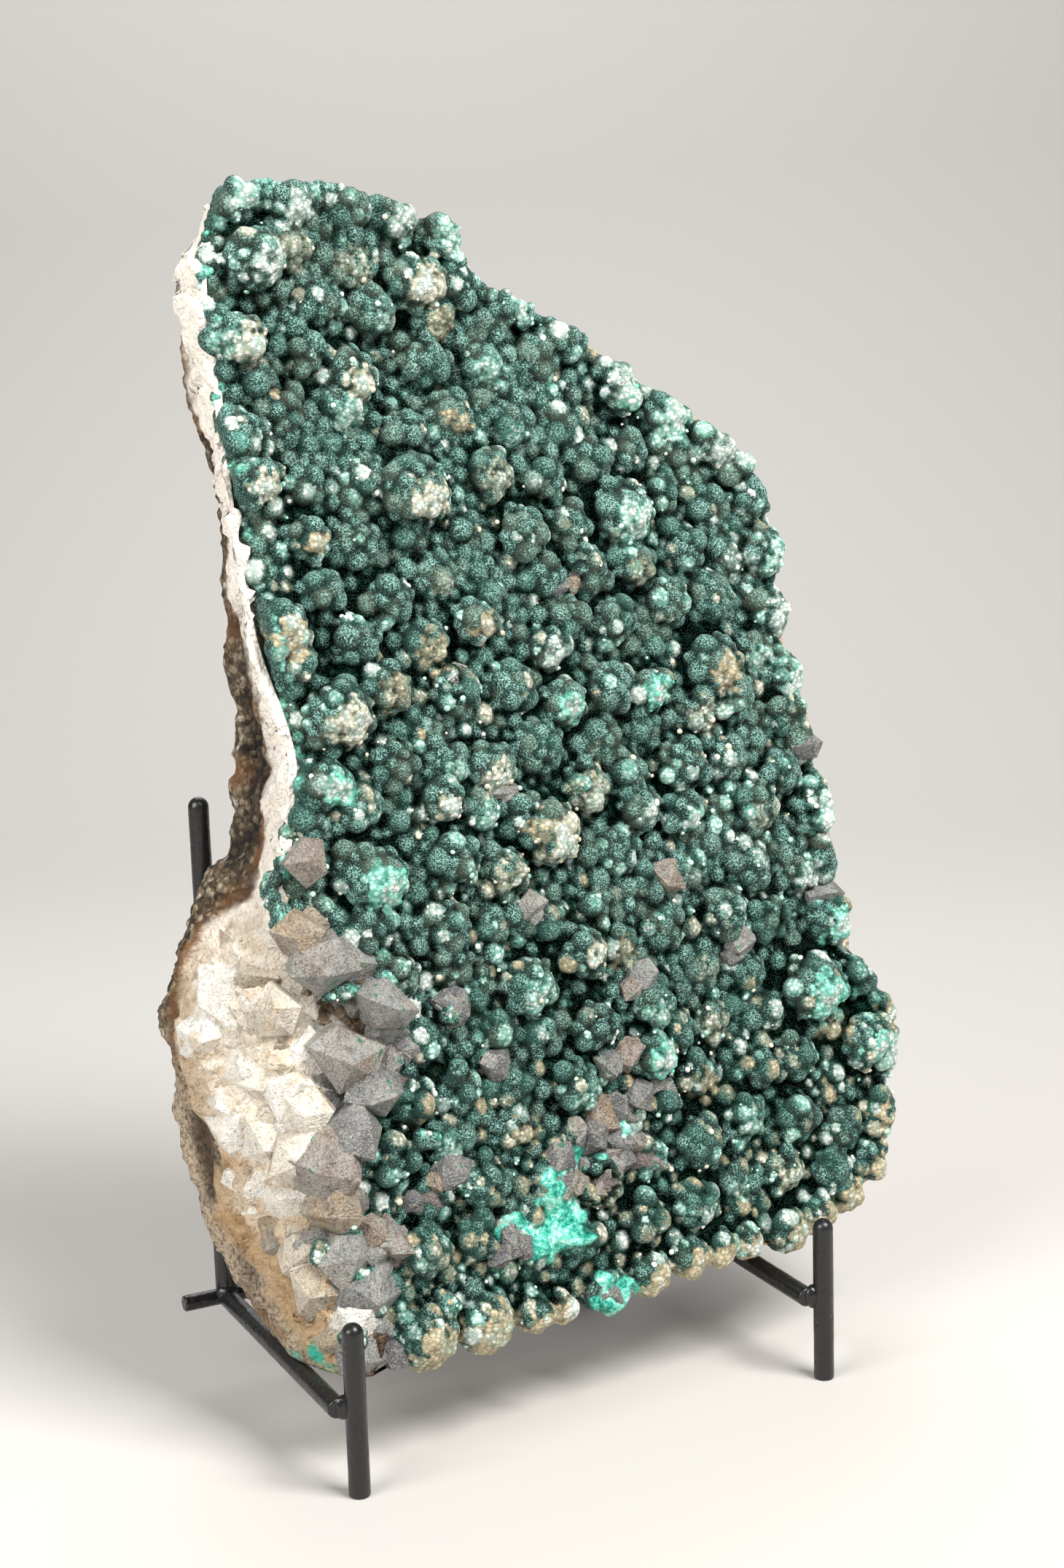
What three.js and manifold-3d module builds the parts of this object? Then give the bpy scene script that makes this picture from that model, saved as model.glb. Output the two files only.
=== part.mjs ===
// Botryoidal malachite on quartz and brown matrix, leaning on a small stand of black rods.
// Millimetres, +Z up. The numbers are in the stand's own frame: its origin is on the ground under
// the front left peg, +X runs along the two front pegs to the right and +Y goes to the back.
// The group is moved at the end, so that its origin is the bottom centre of the whole object.
import * as THREE from 'three';
import { mergeVertices } from 'three/addons/utils/BufferGeometryUtils.js';
import Module from 'manifold-3d';

const wasm = await Module();
wasm.setup();

// Stand
const ROD = 5;
const ARM_ROD = 4.8;
const BAR_ROD = 4;
const ROD_SIDES = 10;
const GAP = 0.3;
const PEG_SPACING = 124.2;
const PEG_HEIGHT = 41.5;
const ARM_OFFSET = -3.9;
const ARM_HEIGHT = 21.4;
const BAR_Y = 76;
const BAR_OVERHANG = 11;
const POST_Y = 75.5;
const POST_TOP = 149;
const LEG_INSET = 26;

// Face of the stone: a plane that leans back and turns a little, with hills and hollows on it
const REST_Z = ARM_HEIGHT + ARM_ROD / 2 + GAP;
const FACE_FOOT_Y = 6;
const LEAN = THREE.MathUtils.degToRad(13);
const TURN = THREE.MathUtils.degToRad(4.5);
const CRUST = 4;

const coated = new THREE.MeshStandardMaterial({ color: 0x121212, roughness: 0.35, metalness: 0.3 });
const malachite = new THREE.MeshStandardMaterial({ color: 0x2c524c, roughness: 0.8, metalness: 0 });

// An upright round rod from z = 0 to length, with a domed top and a slightly rounded foot.
function domedRod(diameter, length) {
  const r = diameter / 2;
  const edge = 0.16 * r;
  const profile = [
    new THREE.Vector2(0, 0),
    new THREE.Vector2(r - edge, 0),
    new THREE.Vector2(r, edge),
  ];
  const steps = 3;
  for (let i = 0; i <= steps; i++) {
    const angle = (i / steps) * Math.PI / 2;
    const out = i < steps ? r * Math.cos(angle) : 0;
    profile.push(new THREE.Vector2(out, length - r + r * Math.sin(angle)));
  }
  return new THREE.LatheGeometry(profile, ROD_SIDES).rotateX(Math.PI / 2);
}

// A round rod from z = 0 to length with both cut ends slightly rounded.
function plainRod(diameter, length) {
  const r = diameter / 2;
  const edge = 0.16 * r;
  const profile = [
    new THREE.Vector2(0, 0),
    new THREE.Vector2(r - edge, 0),
    new THREE.Vector2(r, edge),
    new THREE.Vector2(r, length - edge),
    new THREE.Vector2(r - edge, length),
    new THREE.Vector2(0, length),
  ];
  return new THREE.LatheGeometry(profile, ROD_SIDES).rotateX(Math.PI / 2);
}

function named(name, geometry, material) {
  const mesh = new THREE.Mesh(geometry, material);
  mesh.name = name;
  return mesh;
}

// Pegs, arms, crossbar, posts and legs. The two sides are alike.
function buildStand() {
  const stand = new THREE.Group();
  const sides = { left: 0, right: PEG_SPACING };
  for (const [side, x] of Object.entries(sides)) {
    const peg = named(`front_peg_${side}`, domedRod(ROD, PEG_HEIGHT), coated);
    peg.position.set(x, 0, 0);

    const armStart = ROD / 2 + GAP;
    const armEnd = BAR_Y - BAR_ROD / 2 - GAP;
    const arm = named(`side_arm_${side}`, plainRod(ARM_ROD, armEnd - armStart), coated);
    arm.rotation.x = -Math.PI / 2;
    arm.position.set(x + ARM_OFFSET, armStart, ARM_HEIGHT);

    const postFoot = ARM_HEIGHT + BAR_ROD / 2 + GAP;
    const post = named(`back_post_${side}`, domedRod(ROD, POST_TOP - postFoot), coated);
    post.position.set(x + ARM_OFFSET, POST_Y, postFoot);

    const inset = side === 'left' ? LEG_INSET : -LEG_INSET;
    const legLength = ARM_HEIGHT - BAR_ROD / 2 - GAP;
    const leg = named(`rear_leg_${side}`, plainRod(ROD, legLength), coated);
    leg.position.set(x + ARM_OFFSET + inset, BAR_Y, 0);
    stand.add(peg, arm, post, leg);
  }
  const barLength = PEG_SPACING + 2 * BAR_OVERHANG;
  const bar = named('rear_crossbar', plainRod(BAR_ROD, barLength), coated);
  bar.rotation.y = Math.PI / 2;
  bar.position.set(ARM_OFFSET - BAR_OVERHANG, BAR_Y, ARM_HEIGHT);
  stand.add(bar);
  return stand;
}

// A number between 0 and 1 that looks random and is the same each time.
function chance(i, j) {
  const s = Math.sin(i * 12.9898 + j * 78.233) * 43758.5453;
  return s - Math.floor(s);
}

// How far the face stands out of its plane: long low ridges and hollows.
function relief(x, z) {
  const ridges = 1.6 * Math.sin(x / 15 + 1.2 * Math.sin(z / 31)) * Math.cos(z / 21 - 0.6);
  const topRidge = 4 * Math.exp(-(((x - 35) / 30) ** 2) - ((z - 284) / 13) ** 2);
  const topHollow = -4 * Math.exp(-(((x - 42) / 24) ** 2) - ((z - 250) / 14) ** 2);
  const footSwell = 3 * Math.exp(-(((x - 25) / 26) ** 2) - ((z - 30) / 16) ** 2);
  return ridges + topRidge + topHollow + footSwell;
}

function faceY(x, z) {
  return FACE_FOOT_Y + (z - REST_Z) * Math.tan(LEAN) + x * Math.tan(TURN) - relief(x, z);
}

// Level outlines of the stone from the bottom up. faceLeft and faceRight are the ends of the green
// face, bevel is the shoulder of the broken left flank, flank its outermost point, and backLeft and
// backRight the corners of the back.
const LEVELS = [
  { z: REST_Z, faceLeft: 8, faceRight: 134, bevel: [0, 14], flank: [-5, 30], backLeft: [4, 46], backRight: [128, 49] },
  { z: 31, faceLeft: 12, faceRight: 142, bevel: [0, 16], flank: [-8, 37], backLeft: [-2, 54], backRight: [134, 54] },
  { z: 44, faceLeft: 13, faceRight: 155, bevel: [-1, 20], flank: [-12, 43], backLeft: [-6, 61], backRight: [144, 59] },
  { z: 60, faceLeft: 11, faceRight: 161, bevel: [-3, 24], flank: [-15, 48], backLeft: [-9, 66], backRight: [150, 63] },
  { z: 78, faceLeft: 14, faceRight: 164, bevel: [-5, 29], flank: [-18, 52], backLeft: [-10, 69], backRight: [153, 66] },
  { z: 95, faceLeft: 24, faceRight: 156, bevel: [-3, 33], flank: [-20, 55], backLeft: [-12, 70], backRight: [149, 68] },
  { z: 110, faceLeft: 20, faceRight: 152, bevel: [-3, 37], flank: [-15, 57], backLeft: [-8, 71], backRight: [146, 70] },
  { z: 124, faceLeft: 6, faceRight: 154, bevel: [0, 41], flank: [-8, 58], backLeft: [-3, 71.5], backRight: [147, 71] },
  { z: 140, faceLeft: 6, faceRight: 152, bevel: [5, 45], flank: [2, 60], backLeft: [5, 71], backRight: [145, 72] },
  { z: 162, faceLeft: 10, faceRight: 149, bevel: [8, 46], flank: [6, 61], backLeft: [8, 71], backRight: [142, 74] },
  { z: 190, faceLeft: 4, faceRight: 148, bevel: [4, 51], flank: [3, 61], backLeft: [7, 71], backRight: [140, 77] },
  { z: 215, faceLeft: 3, faceRight: 145, bevel: [3, 56], flank: [2, 63], backLeft: [7, 74], backRight: [135, 80] },
  { z: 232, faceLeft: 3, faceRight: 131, bevel: [2, 60], flank: [1, 66], backLeft: [6, 77], backRight: [122, 82] },
  { z: 248, faceLeft: 3, faceRight: 109, bevel: [0, 64], flank: [-1, 70], backLeft: [6, 80], backRight: [101, 84] },
  { z: 262, faceLeft: 2, faceRight: 88, bevel: [-1, 67], flank: [-2, 72], backLeft: [6, 82], backRight: [81, 85] },
  { z: 275, faceLeft: 3, faceRight: 68, bevel: [0, 70], flank: [-1, 75], backLeft: [8, 84], backRight: [62, 86] },
  { z: 287, faceLeft: 9, faceRight: 54, bevel: [8, 74], flank: [9, 77], backLeft: [14, 84], backRight: [48, 85] },
];

const FACE_STEPS = 4;
const BACK_STEPS = 3;

// Control points around one level, anticlockwise seen from above, starting at the face's left end.
function levelPoints(level) {
  const { z, faceLeft, faceRight, bevel, flank, backLeft, backRight } = level;
  const onFace = (x) => new THREE.Vector3(x, faceY(x, z) + CRUST, z);
  const points = [];
  for (let i = 0; i <= FACE_STEPS; i++) {
    points.push(onFace(THREE.MathUtils.lerp(faceLeft, faceRight, i / FACE_STEPS)));
  }
  const right = points[points.length - 1];
  const sideBulge = 3;
  points.push(new THREE.Vector3(Math.max(right.x, backRight[0]) + sideBulge, (right.y + backRight[1]) / 2, z));
  points.push(new THREE.Vector3(backRight[0], backRight[1], z));
  for (let i = 1; i < BACK_STEPS; i++) {
    const x = THREE.MathUtils.lerp(backRight[0], backLeft[0], i / BACK_STEPS);
    const y = THREE.MathUtils.lerp(backRight[1], backLeft[1], i / BACK_STEPS);
    points.push(new THREE.Vector3(x, y, z));
  }
  for (const [x, y] of [backLeft, flank, bevel]) {
    points.push(new THREE.Vector3(x, y, z));
  }
  return points;
}

// The body of the stone: smooth columns through the levels, and rings through the columns. Its
// sides and back are broken rock, in knobs and flat faces, and the back stays in front of the posts.
function bodyGeometry() {
  const rows = 25;
  const perGap = 3;
  const knob = 3.4;
  const chip = 2.2;
  const sideways = 0.3;
  const middle = { x: 60, y: 50 };
  const postFront = POST_Y - ROD / 2 - 2 * GAP;
  const rings = LEVELS.map(levelPoints);
  const columns = rings[0].map((_, k) => {
    return new THREE.CatmullRomCurve3(rings.map((ring) => ring[k]), false, 'catmullrom');
  });
  const around = columns.length * perGap;
  const positions = [];
  for (let row = 0; row <= rows; row++) {
    const corners = columns.map((column) => column.getPoint(row / rows));
    const ring = new THREE.CatmullRomCurve3(corners, true, 'catmullrom', 0.4);
    for (let i = 0; i < around; i++) {
      const p = ring.getPoint(i / around);
      if (row > 0 && i > FACE_STEPS * perGap) {
        const outward = new THREE.Vector3(sideways * (p.x - middle.x), p.y - middle.y, 0).normalize();
        const big = knob * (chance(i >> 1, (row >> 1) + 50) - 0.5);
        const small = chip * (chance(row, i) - 0.5);
        p.addScaledVector(outward, big + small);
      }
      const furthest = postFront + Math.max(p.z - POST_TOP, 0) * Math.tan(LEAN);
      positions.push(p.x, Math.min(p.y, furthest), p.z);
    }
  }
  const indices = [];
  for (let row = 0; row < rows; row++) {
    for (let i = 0; i < around; i++) {
      const a = row * around + i;
      const b = row * around + ((i + 1) % around);
      indices.push(a, b, b + around, a, b + around, a + around);
    }
  }
  const capRing = (row) => Array.from({ length: around }, (_, i) => row * around + i);
  const flat = (ring) => ring.map((i) => new THREE.Vector2(positions[3 * i], positions[3 * i + 1]));
  for (const [row, up] of [[0, false], [rows, true]]) {
    const ring = capRing(row);
    for (const [a, b, c] of THREE.ShapeUtils.triangulateShape(flat(ring), [])) {
      indices.push(ring[a], ring[up ? b : c], ring[up ? c : b]);
    }
  }
  const geometry = new THREE.BufferGeometry();
  geometry.setAttribute('position', new THREE.Float32BufferAttribute(positions, 3));
  geometry.setIndex(indices);
  return geometry;
}

function solidOf(geometry) {
  const bare = geometry.clone();
  bare.deleteAttribute('normal');
  bare.deleteAttribute('uv');
  const merged = mergeVertices(bare, 1e-3);
  const vertProperties = new Float32Array(merged.attributes.position.array);
  const triVerts = new Uint32Array(merged.index.array);
  return new wasm.Manifold(new wasm.Mesh({ numProp: 3, vertProperties, triVerts }));
}

function geometryOf(solid) {
  const { vertProperties, triVerts } = solid.getMesh();
  const geometry = new THREE.BufferGeometry();
  geometry.setAttribute('position', new THREE.BufferAttribute(vertProperties, 3));
  geometry.setIndex(new THREE.BufferAttribute(triVerts, 1));
  geometry.computeVertexNormals();
  return geometry;
}

// The big mounds of the malachite that stand out in the photograph: x, z and radius on the face.
const MOUNDS = [
  [47, 220, 9.2], [105, 211, 8.9], [75, 208, 6.7], [35, 247, 7.3], [20, 171, 8.9], [15, 156, 6.2],
  [81, 167, 6.3], [106, 168, 5.5], [125, 172, 8.1], [148, 168, 5], [59, 189, 5.6], [78, 181, 5.3],
  [44, 149, 5.5], [99, 139, 5.9], [111, 137, 5.6], [72, 137, 8.5], [24, 133, 8], [77, 108, 6.7],
  [143, 89, 9.3], [157, 74, 7.9], [109, 240, 5.6], [8, 257, 6.1], [8, 225, 6.1],
  [19, 211, 5.3], [9, 191, 7], [55, 269, 7.1], [13, 275, 7.6],
];

// The rim of the face, where rows of mounds make the outline: x, z and radius, from the top left
// round to the foot.
const RIM = [
  [9, 290, 5.2], [22, 288, 7], [37, 288, 7.4], [51, 285, 7], [64, 280, 6.2], [67, 267, 7], [81, 263, 7.2],
  [95, 254, 7.4], [108, 244, 7.2], [122, 235, 7.5], [136, 226, 7.4], [145, 213, 7], [147, 198, 7.2],
  [146, 183, 7], [148, 166, 6.6], [150, 150, 6.8], [152, 135, 7.4], [152, 119, 7], [153, 104, 7.6],
  [161, 88, 8], [162, 70, 7.8], [159, 53, 8], [148, 38, 7.6], [132, 30, 7.4], [113, 29, 7.2],
  [94, 29, 7.4], [75, 29, 7.2], [56, 28, 7.4], [37, 28, 7.6], [20, 28, 7],
];

// Left and right ends of the green face at a height, between the levels.
function faceEnds(z) {
  const above = LEVELS.find((level) => level.z >= z) ?? LEVELS[LEVELS.length - 1];
  const below = LEVELS[Math.max(LEVELS.indexOf(above) - 1, 0)];
  const part = above === below ? 0 : (z - below.z) / (above.z - below.z);
  const left = THREE.MathUtils.lerp(below.faceLeft, above.faceLeft, part);
  const right = THREE.MathUtils.lerp(below.faceRight, above.faceRight, part);
  return [left, right];
}

// Mounds of the crust, packed like cobbles: their tops lie on a loose six-sided pattern, each with
// its own height, and the clefts between them run through the middles of every three. A big mound
// takes the place of the cobble nearest to it.
const COBBLE_STEP = 14.8;
const COBBLE_ROW = COBBLE_STEP * Math.sqrt(3) / 2;
const COBBLE_ROWS = 22;
const COBBLES_ACROSS = 13;
const FIRST_ROW_Z = REST_Z + 6;
const bigMounds = new Map();
for (const [x, z, r] of MOUNDS) {
  const j = Math.round((z - FIRST_ROW_Z) / COBBLE_ROW);
  const i = Math.round(x / COBBLE_STEP - (j % 2) / 2);
  bigMounds.set(`${i} ${j}`, { x, z, proud: 0.7 * r + 1 });
}

function cobbleTop(i, j) {
  const big = bigMounds.get(`${i} ${j}`);
  if (big) {
    return big;
  }
  const shift = 0.45 * COBBLE_STEP;
  const bend = 2.5;
  const x = (i + (j % 2) / 2) * COBBLE_STEP + shift * (chance(i, j) - 0.5);
  const z = FIRST_ROW_Z + j * COBBLE_ROW + shift * (chance(j, i + 20) - 0.5);
  const proud = 1 + 3.4 * chance(i + 40, j);
  return { x: x + bend * Math.sin(z / 17), z: z + bend * Math.sin(x / 15), proud };
}

// The six neighbours of a cobble, anticlockwise as seen from the front.
function cobbleNeighbours(i, j) {
  const odd = j % 2;
  const steps = [[1, 0], [odd, 1], [odd - 1, 1], [-1, 0], [odd - 1, -1], [odd, -1]];
  return steps.map(([di, dj]) => cobbleTop(i + di, j + dj));
}

// The green crust as one closed sheet with its mounds in front and a plain back inside the stone.
function crustGeometry() {
  const depth = 9;
  const margin = 3;
  const highest = 284;
  const shoulder = 0.62;
  const roundness = 0.72;
  const positions = [];
  const index = new Map();
  const vertex = (x, z, proud) => {
    const key = `${x.toFixed(3)} ${z.toFixed(3)}`;
    if (!index.has(key)) {
      index.set(key, positions.length / 3);
      positions.push(x, faceY(x, z) - proud, z);
    }
    return index.get(key);
  };
  const front = [];
  for (let j = 0; j < COBBLE_ROWS; j++) {
    for (let i = -1; i < COBBLES_ACROSS; i++) {
      const top = cobbleTop(i, j);
      const [left, right] = faceEnds(top.z);
      const inside = top.x > left + margin && top.x < right - margin && top.z < highest;
      if (!inside) {
        continue;
      }
      const around = cobbleNeighbours(i, j);
      const centre = vertex(top.x, top.z, top.proud);
      const clefts = [];
      const shoulders = [];
      for (let k = 0; k < 6; k++) {
        const a = around[k];
        const b = around[(k + 1) % 6];
        const x = (top.x + a.x + b.x) / 3;
        const z = (top.z + a.z + b.z) / 3;
        const cleft = -0.6 - 1.6 * chance(Math.round(x), Math.round(z));
        clefts.push(vertex(x, z, cleft));
        const sx = THREE.MathUtils.lerp(top.x, x, shoulder);
        const sz = THREE.MathUtils.lerp(top.z, z, shoulder);
        shoulders.push(vertex(sx, sz, THREE.MathUtils.lerp(cleft, top.proud, roundness)));
      }
      for (let k = 0; k < 6; k++) {
        const n = (k + 1) % 6;
        front.push([centre, shoulders[k], shoulders[n]]);
        front.push([shoulders[k], clefts[k], clefts[n]], [shoulders[k], clefts[n], shoulders[n]]);
      }
    }
  }
  return closedSheet(positions, front, depth);
}

// A closed solid from a sheet of triangles that face -Y: the sheet, a smooth back at that depth
// behind the face, and walls along its open edges.
function closedSheet(positions, front, depth) {
  const count = positions.length / 3;
  const both = [...positions];
  for (let i = 0; i < count; i++) {
    const x = positions[3 * i];
    const z = positions[3 * i + 2];
    both.push(x, faceY(x, z) + depth, z);
  }
  const indices = [];
  const edges = new Set();
  for (const [a, b, c] of front) {
    indices.push(a, b, c, count + a, count + c, count + b);
    [[a, b], [b, c], [c, a]].forEach(([p, q]) => edges.add(`${p} ${q}`));
  }
  for (const edge of edges) {
    const [p, q] = edge.split(' ').map(Number);
    if (!edges.has(`${q} ${p}`)) {
      indices.push(p, count + p, q, q, count + p, count + q);
    }
  }
  const geometry = new THREE.BufferGeometry();
  geometry.setAttribute('position', new THREE.Float32BufferAttribute(both, 3));
  geometry.setIndex(indices);
  return geometry;
}

// The mounds of the rim: rounded lumps, mostly sunk in the edge of the face towards its middle.
function rimSolids() {
  const proud = 4;
  const middle = new THREE.Vector2(70, 150);
  return RIM.map(([x, z, r], i) => {
    const sunk = 0.25 * r;
    const radius = r + sunk;
    const edge = new THREE.Vector2(x, z);
    const centre = edge.addScaledVector(middle.clone().sub(edge).normalize(), sunk);
    const lump = new THREE.SphereGeometry(radius, 6, 4);
    lump.rotateY(chance(i, 3) * Math.PI);
    lump.translate(centre.x, faceY(centre.x, centre.y) + radius - proud, centre.y);
    return solidOf(lump);
  });
}

// Quartz crystals with flat faces on the broken left flank: tip point, radius, and the heading of
// the tip in degrees, from +X anticlockwise seen from above, and above the level.
const CRYSTALS = [
  { tip: [10, 18, 95], radius: 8.5, heading: 262, rise: 5 },
  { tip: [9, 14, 68], radius: 8, heading: 300, rise: -10 },
  { tip: [8, 24, 115], radius: 7, heading: 262, rise: -10 },
  { tip: [23, 20, 105], radius: 7, heading: 275, rise: 0 },
  { tip: [1, 27, 124], radius: 5.5, heading: 240, rise: 5 },
  { tip: [22, 19, 86], radius: 5, heading: 320, rise: -5 },
  { tip: [13, 16, 81], radius: 5.5, heading: 285, rise: 20 },
  { tip: [9, 14, 60], radius: 6, heading: 300, rise: 0 },
  { tip: [6, 10, 51], radius: 6, heading: 270, rise: 5 },
  { tip: [10, 7, 41], radius: 7, heading: 275, rise: -5 },
  { tip: [4, 8, 35], radius: 6, heading: 250, rise: -10 },
  { tip: [-3, 14, 43], radius: 7, heading: 235, rise: -5 },
  { tip: [-2, 22, 84], radius: 7, heading: 240, rise: 5 },
  { tip: [-9, 32, 88], radius: 9, heading: 225, rise: 0 },
  { tip: [-3, 19, 72], radius: 6, heading: 250, rise: -5 },
  { tip: [-5, 28, 107], radius: 6, heading: 235, rise: 10 },
  { tip: [6, 28, 140], radius: 6, heading: 255, rise: -5 },
  { tip: [4, 40, 167], radius: 5, heading: 235, rise: 10 },
  { tip: [3, 37, 154], radius: 5, heading: 235, rise: -5 },
  { tip: [-9, 36, 60], radius: 8, heading: 220, rise: -5 },
  { tip: [-12, 44, 76], radius: 7, heading: 205, rise: 0 },
  { tip: [157, 46, 150], radius: 6, heading: 330, rise: 10 },
  { tip: [156, 53, 176], radius: 6, heading: 350, rise: -5 },
  { tip: [164, 44, 110], radius: 8, heading: 350, rise: 5 },
];

// A six-sided crystal with a pointed end, its tip at the origin and its body going down to -Z.
function crystalGeometry(radius) {
  const tipHeight = 1.1 * radius;
  const bodyLength = 1.2 * radius;
  const profile = [
    new THREE.Vector2(0, -tipHeight - bodyLength),
    new THREE.Vector2(radius, -tipHeight - bodyLength),
    new THREE.Vector2(radius, -tipHeight),
    new THREE.Vector2(0, 0),
  ];
  return new THREE.LatheGeometry(profile, 6).rotateX(Math.PI / 2);
}

function crystalSolid({ tip, radius, heading, rise }, index) {
  const along = THREE.MathUtils.degToRad(heading);
  const up = THREE.MathUtils.degToRad(rise);
  const direction = new THREE.Vector3(
    Math.cos(up) * Math.cos(along),
    Math.cos(up) * Math.sin(along),
    Math.sin(up),
  );
  const turn = new THREE.Quaternion().setFromUnitVectors(new THREE.Vector3(0, 0, 1), direction);
  const crystal = crystalGeometry(radius).rotateZ(chance(index, 11));
  crystal.applyQuaternion(turn);
  crystal.translate(tip[0], tip[1], tip[2]);
  return solidOf(crystal);
}

// The whole stone: body, crust, rim and crystals joined, then cut flat where it rests.
function specimenGeometry() {
  let stone = solidOf(bodyGeometry());
  const crust = solidOf(crustGeometry());
  const lumps = [crust, ...rimSolids(), ...CRYSTALS.map(crystalSolid)];
  for (const lump of lumps) {
    stone = stone.add(lump);
  }
  const block = 400;
  const below = new THREE.BoxGeometry(block, block, block).translate(0, 0, REST_Z - block / 2);
  return geometryOf(stone.subtract(solidOf(below)));
}

const part = new THREE.Group();
part.add(named('specimen', specimenGeometry(), malachite));
part.add(buildStand());

const bounds = new THREE.Box3().setFromObject(part);
const centre = bounds.getCenter(new THREE.Vector3());
part.position.set(-centre.x, -centre.y, -bounds.min.z);

export default part;
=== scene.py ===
import math

import bmesh
import bpy
import numpy as np
from mathutils import Matrix, Vector, kdtree


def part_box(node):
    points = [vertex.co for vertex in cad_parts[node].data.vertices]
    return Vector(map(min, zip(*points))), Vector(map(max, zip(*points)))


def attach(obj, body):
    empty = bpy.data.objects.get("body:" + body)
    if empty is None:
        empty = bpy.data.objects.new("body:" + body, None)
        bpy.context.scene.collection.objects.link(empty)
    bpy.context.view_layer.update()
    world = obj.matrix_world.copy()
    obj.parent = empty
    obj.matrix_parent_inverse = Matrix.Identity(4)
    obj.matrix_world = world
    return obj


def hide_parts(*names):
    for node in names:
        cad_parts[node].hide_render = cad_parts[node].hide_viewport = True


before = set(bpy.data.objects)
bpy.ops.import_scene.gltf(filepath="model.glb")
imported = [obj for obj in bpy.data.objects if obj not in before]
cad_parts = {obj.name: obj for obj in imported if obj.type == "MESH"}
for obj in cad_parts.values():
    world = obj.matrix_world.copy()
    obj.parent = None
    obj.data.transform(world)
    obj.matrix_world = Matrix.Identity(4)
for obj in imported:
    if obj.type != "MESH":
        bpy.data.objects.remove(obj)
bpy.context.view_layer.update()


# The stand. Round steel rods, cut and welded at right angles, then dipped in a thick glossy black
# coating that rounds the cut ends and leaves small pits. The stone only rests on it.
MM = 0.001
ROD = 5.0
ARM_ROD = 4.8
BAR_ROD = 4.0
PEG_SPACING = 124.2
PEG_HEIGHT = 41.5
ARM_OFFSET = -3.9
ARM_HEIGHT = 21.4
BAR_Y = 76.0
BAR_OVERHANG = 11.0
POST_Y = 75.5
POST_TOP = 149.0
LEG_INSET = 26.0
# How far a rod stops from the middle of the rod that it is welded to.
SHORT_OF_MIDDLE = 1.0
# Half sizes of the lumps of coating at the welds.
PEG_WELD = (2.6, 2.0, 2.9)
POST_WELD = (2.9, 2.7, 2.4)
LEG_WELD = (2.9, 2.7, 2.0)
# The coating rounds a cut end by this share of the rod's radius. Along the rod it is up to this share
# of the radius thicker in some places than in others, and they are about this far apart.
END_ROUNDING = 0.22
COATING_WAVE = 0.03
WAVE_LENGTH = 3.5
# A rod's mesh has this many sides, and rings of points about this far apart.
ROD_SIDES = 32
RING_SPACING = 4

peg_low, peg_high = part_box("front_peg_left")
STAND = np.array([(peg_low.x + peg_high.x) / 2, (peg_low.y + peg_high.y) / 2, 0])


def new_piece(name, points, faces, material, node=None):
    """A mesh made of points in millimetres and faces of any size, as a piece of the object."""
    mesh = bpy.data.meshes.new(name)
    mesh.from_pydata((np.asarray(points, float) * MM + STAND).tolist(), [], [list(f) for f in faces])
    mesh.update()
    mesh.shade_smooth()
    mesh.materials.append(material)
    piece = bpy.data.objects.new(name, mesh)
    bpy.context.scene.collection.objects.link(piece)
    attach(piece, "root")
    if node:
        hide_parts(node)
    return piece


def lattice_value(cell):
    """A number from 0 to 1 for each whole-number place, the same each time."""
    s = np.sin(cell[..., 0] * 12.9898 + cell[..., 1] * 78.233 + cell[..., 2] * 37.719) * 43758.5453
    return s - np.floor(s)


def blur_lattice(points, size, seed):
    """Smooth noise from 0 to 1 that changes over about the given size."""
    p = np.asarray(points, float) / size + seed * 17.31
    cell = np.floor(p).astype(np.int64)
    f = p - cell
    f = f * f * (3 - 2 * f)
    total = np.zeros(len(p))
    for dx in (0, 1):
        for dy in (0, 1):
            for dz in (0, 1):
                weight = np.abs(1 - dx - f[:, 0]) * np.abs(1 - dy - f[:, 1]) * np.abs(1 - dz - f[:, 2])
                total += weight * lattice_value(cell + (dx, dy, dz))
    return total


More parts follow.
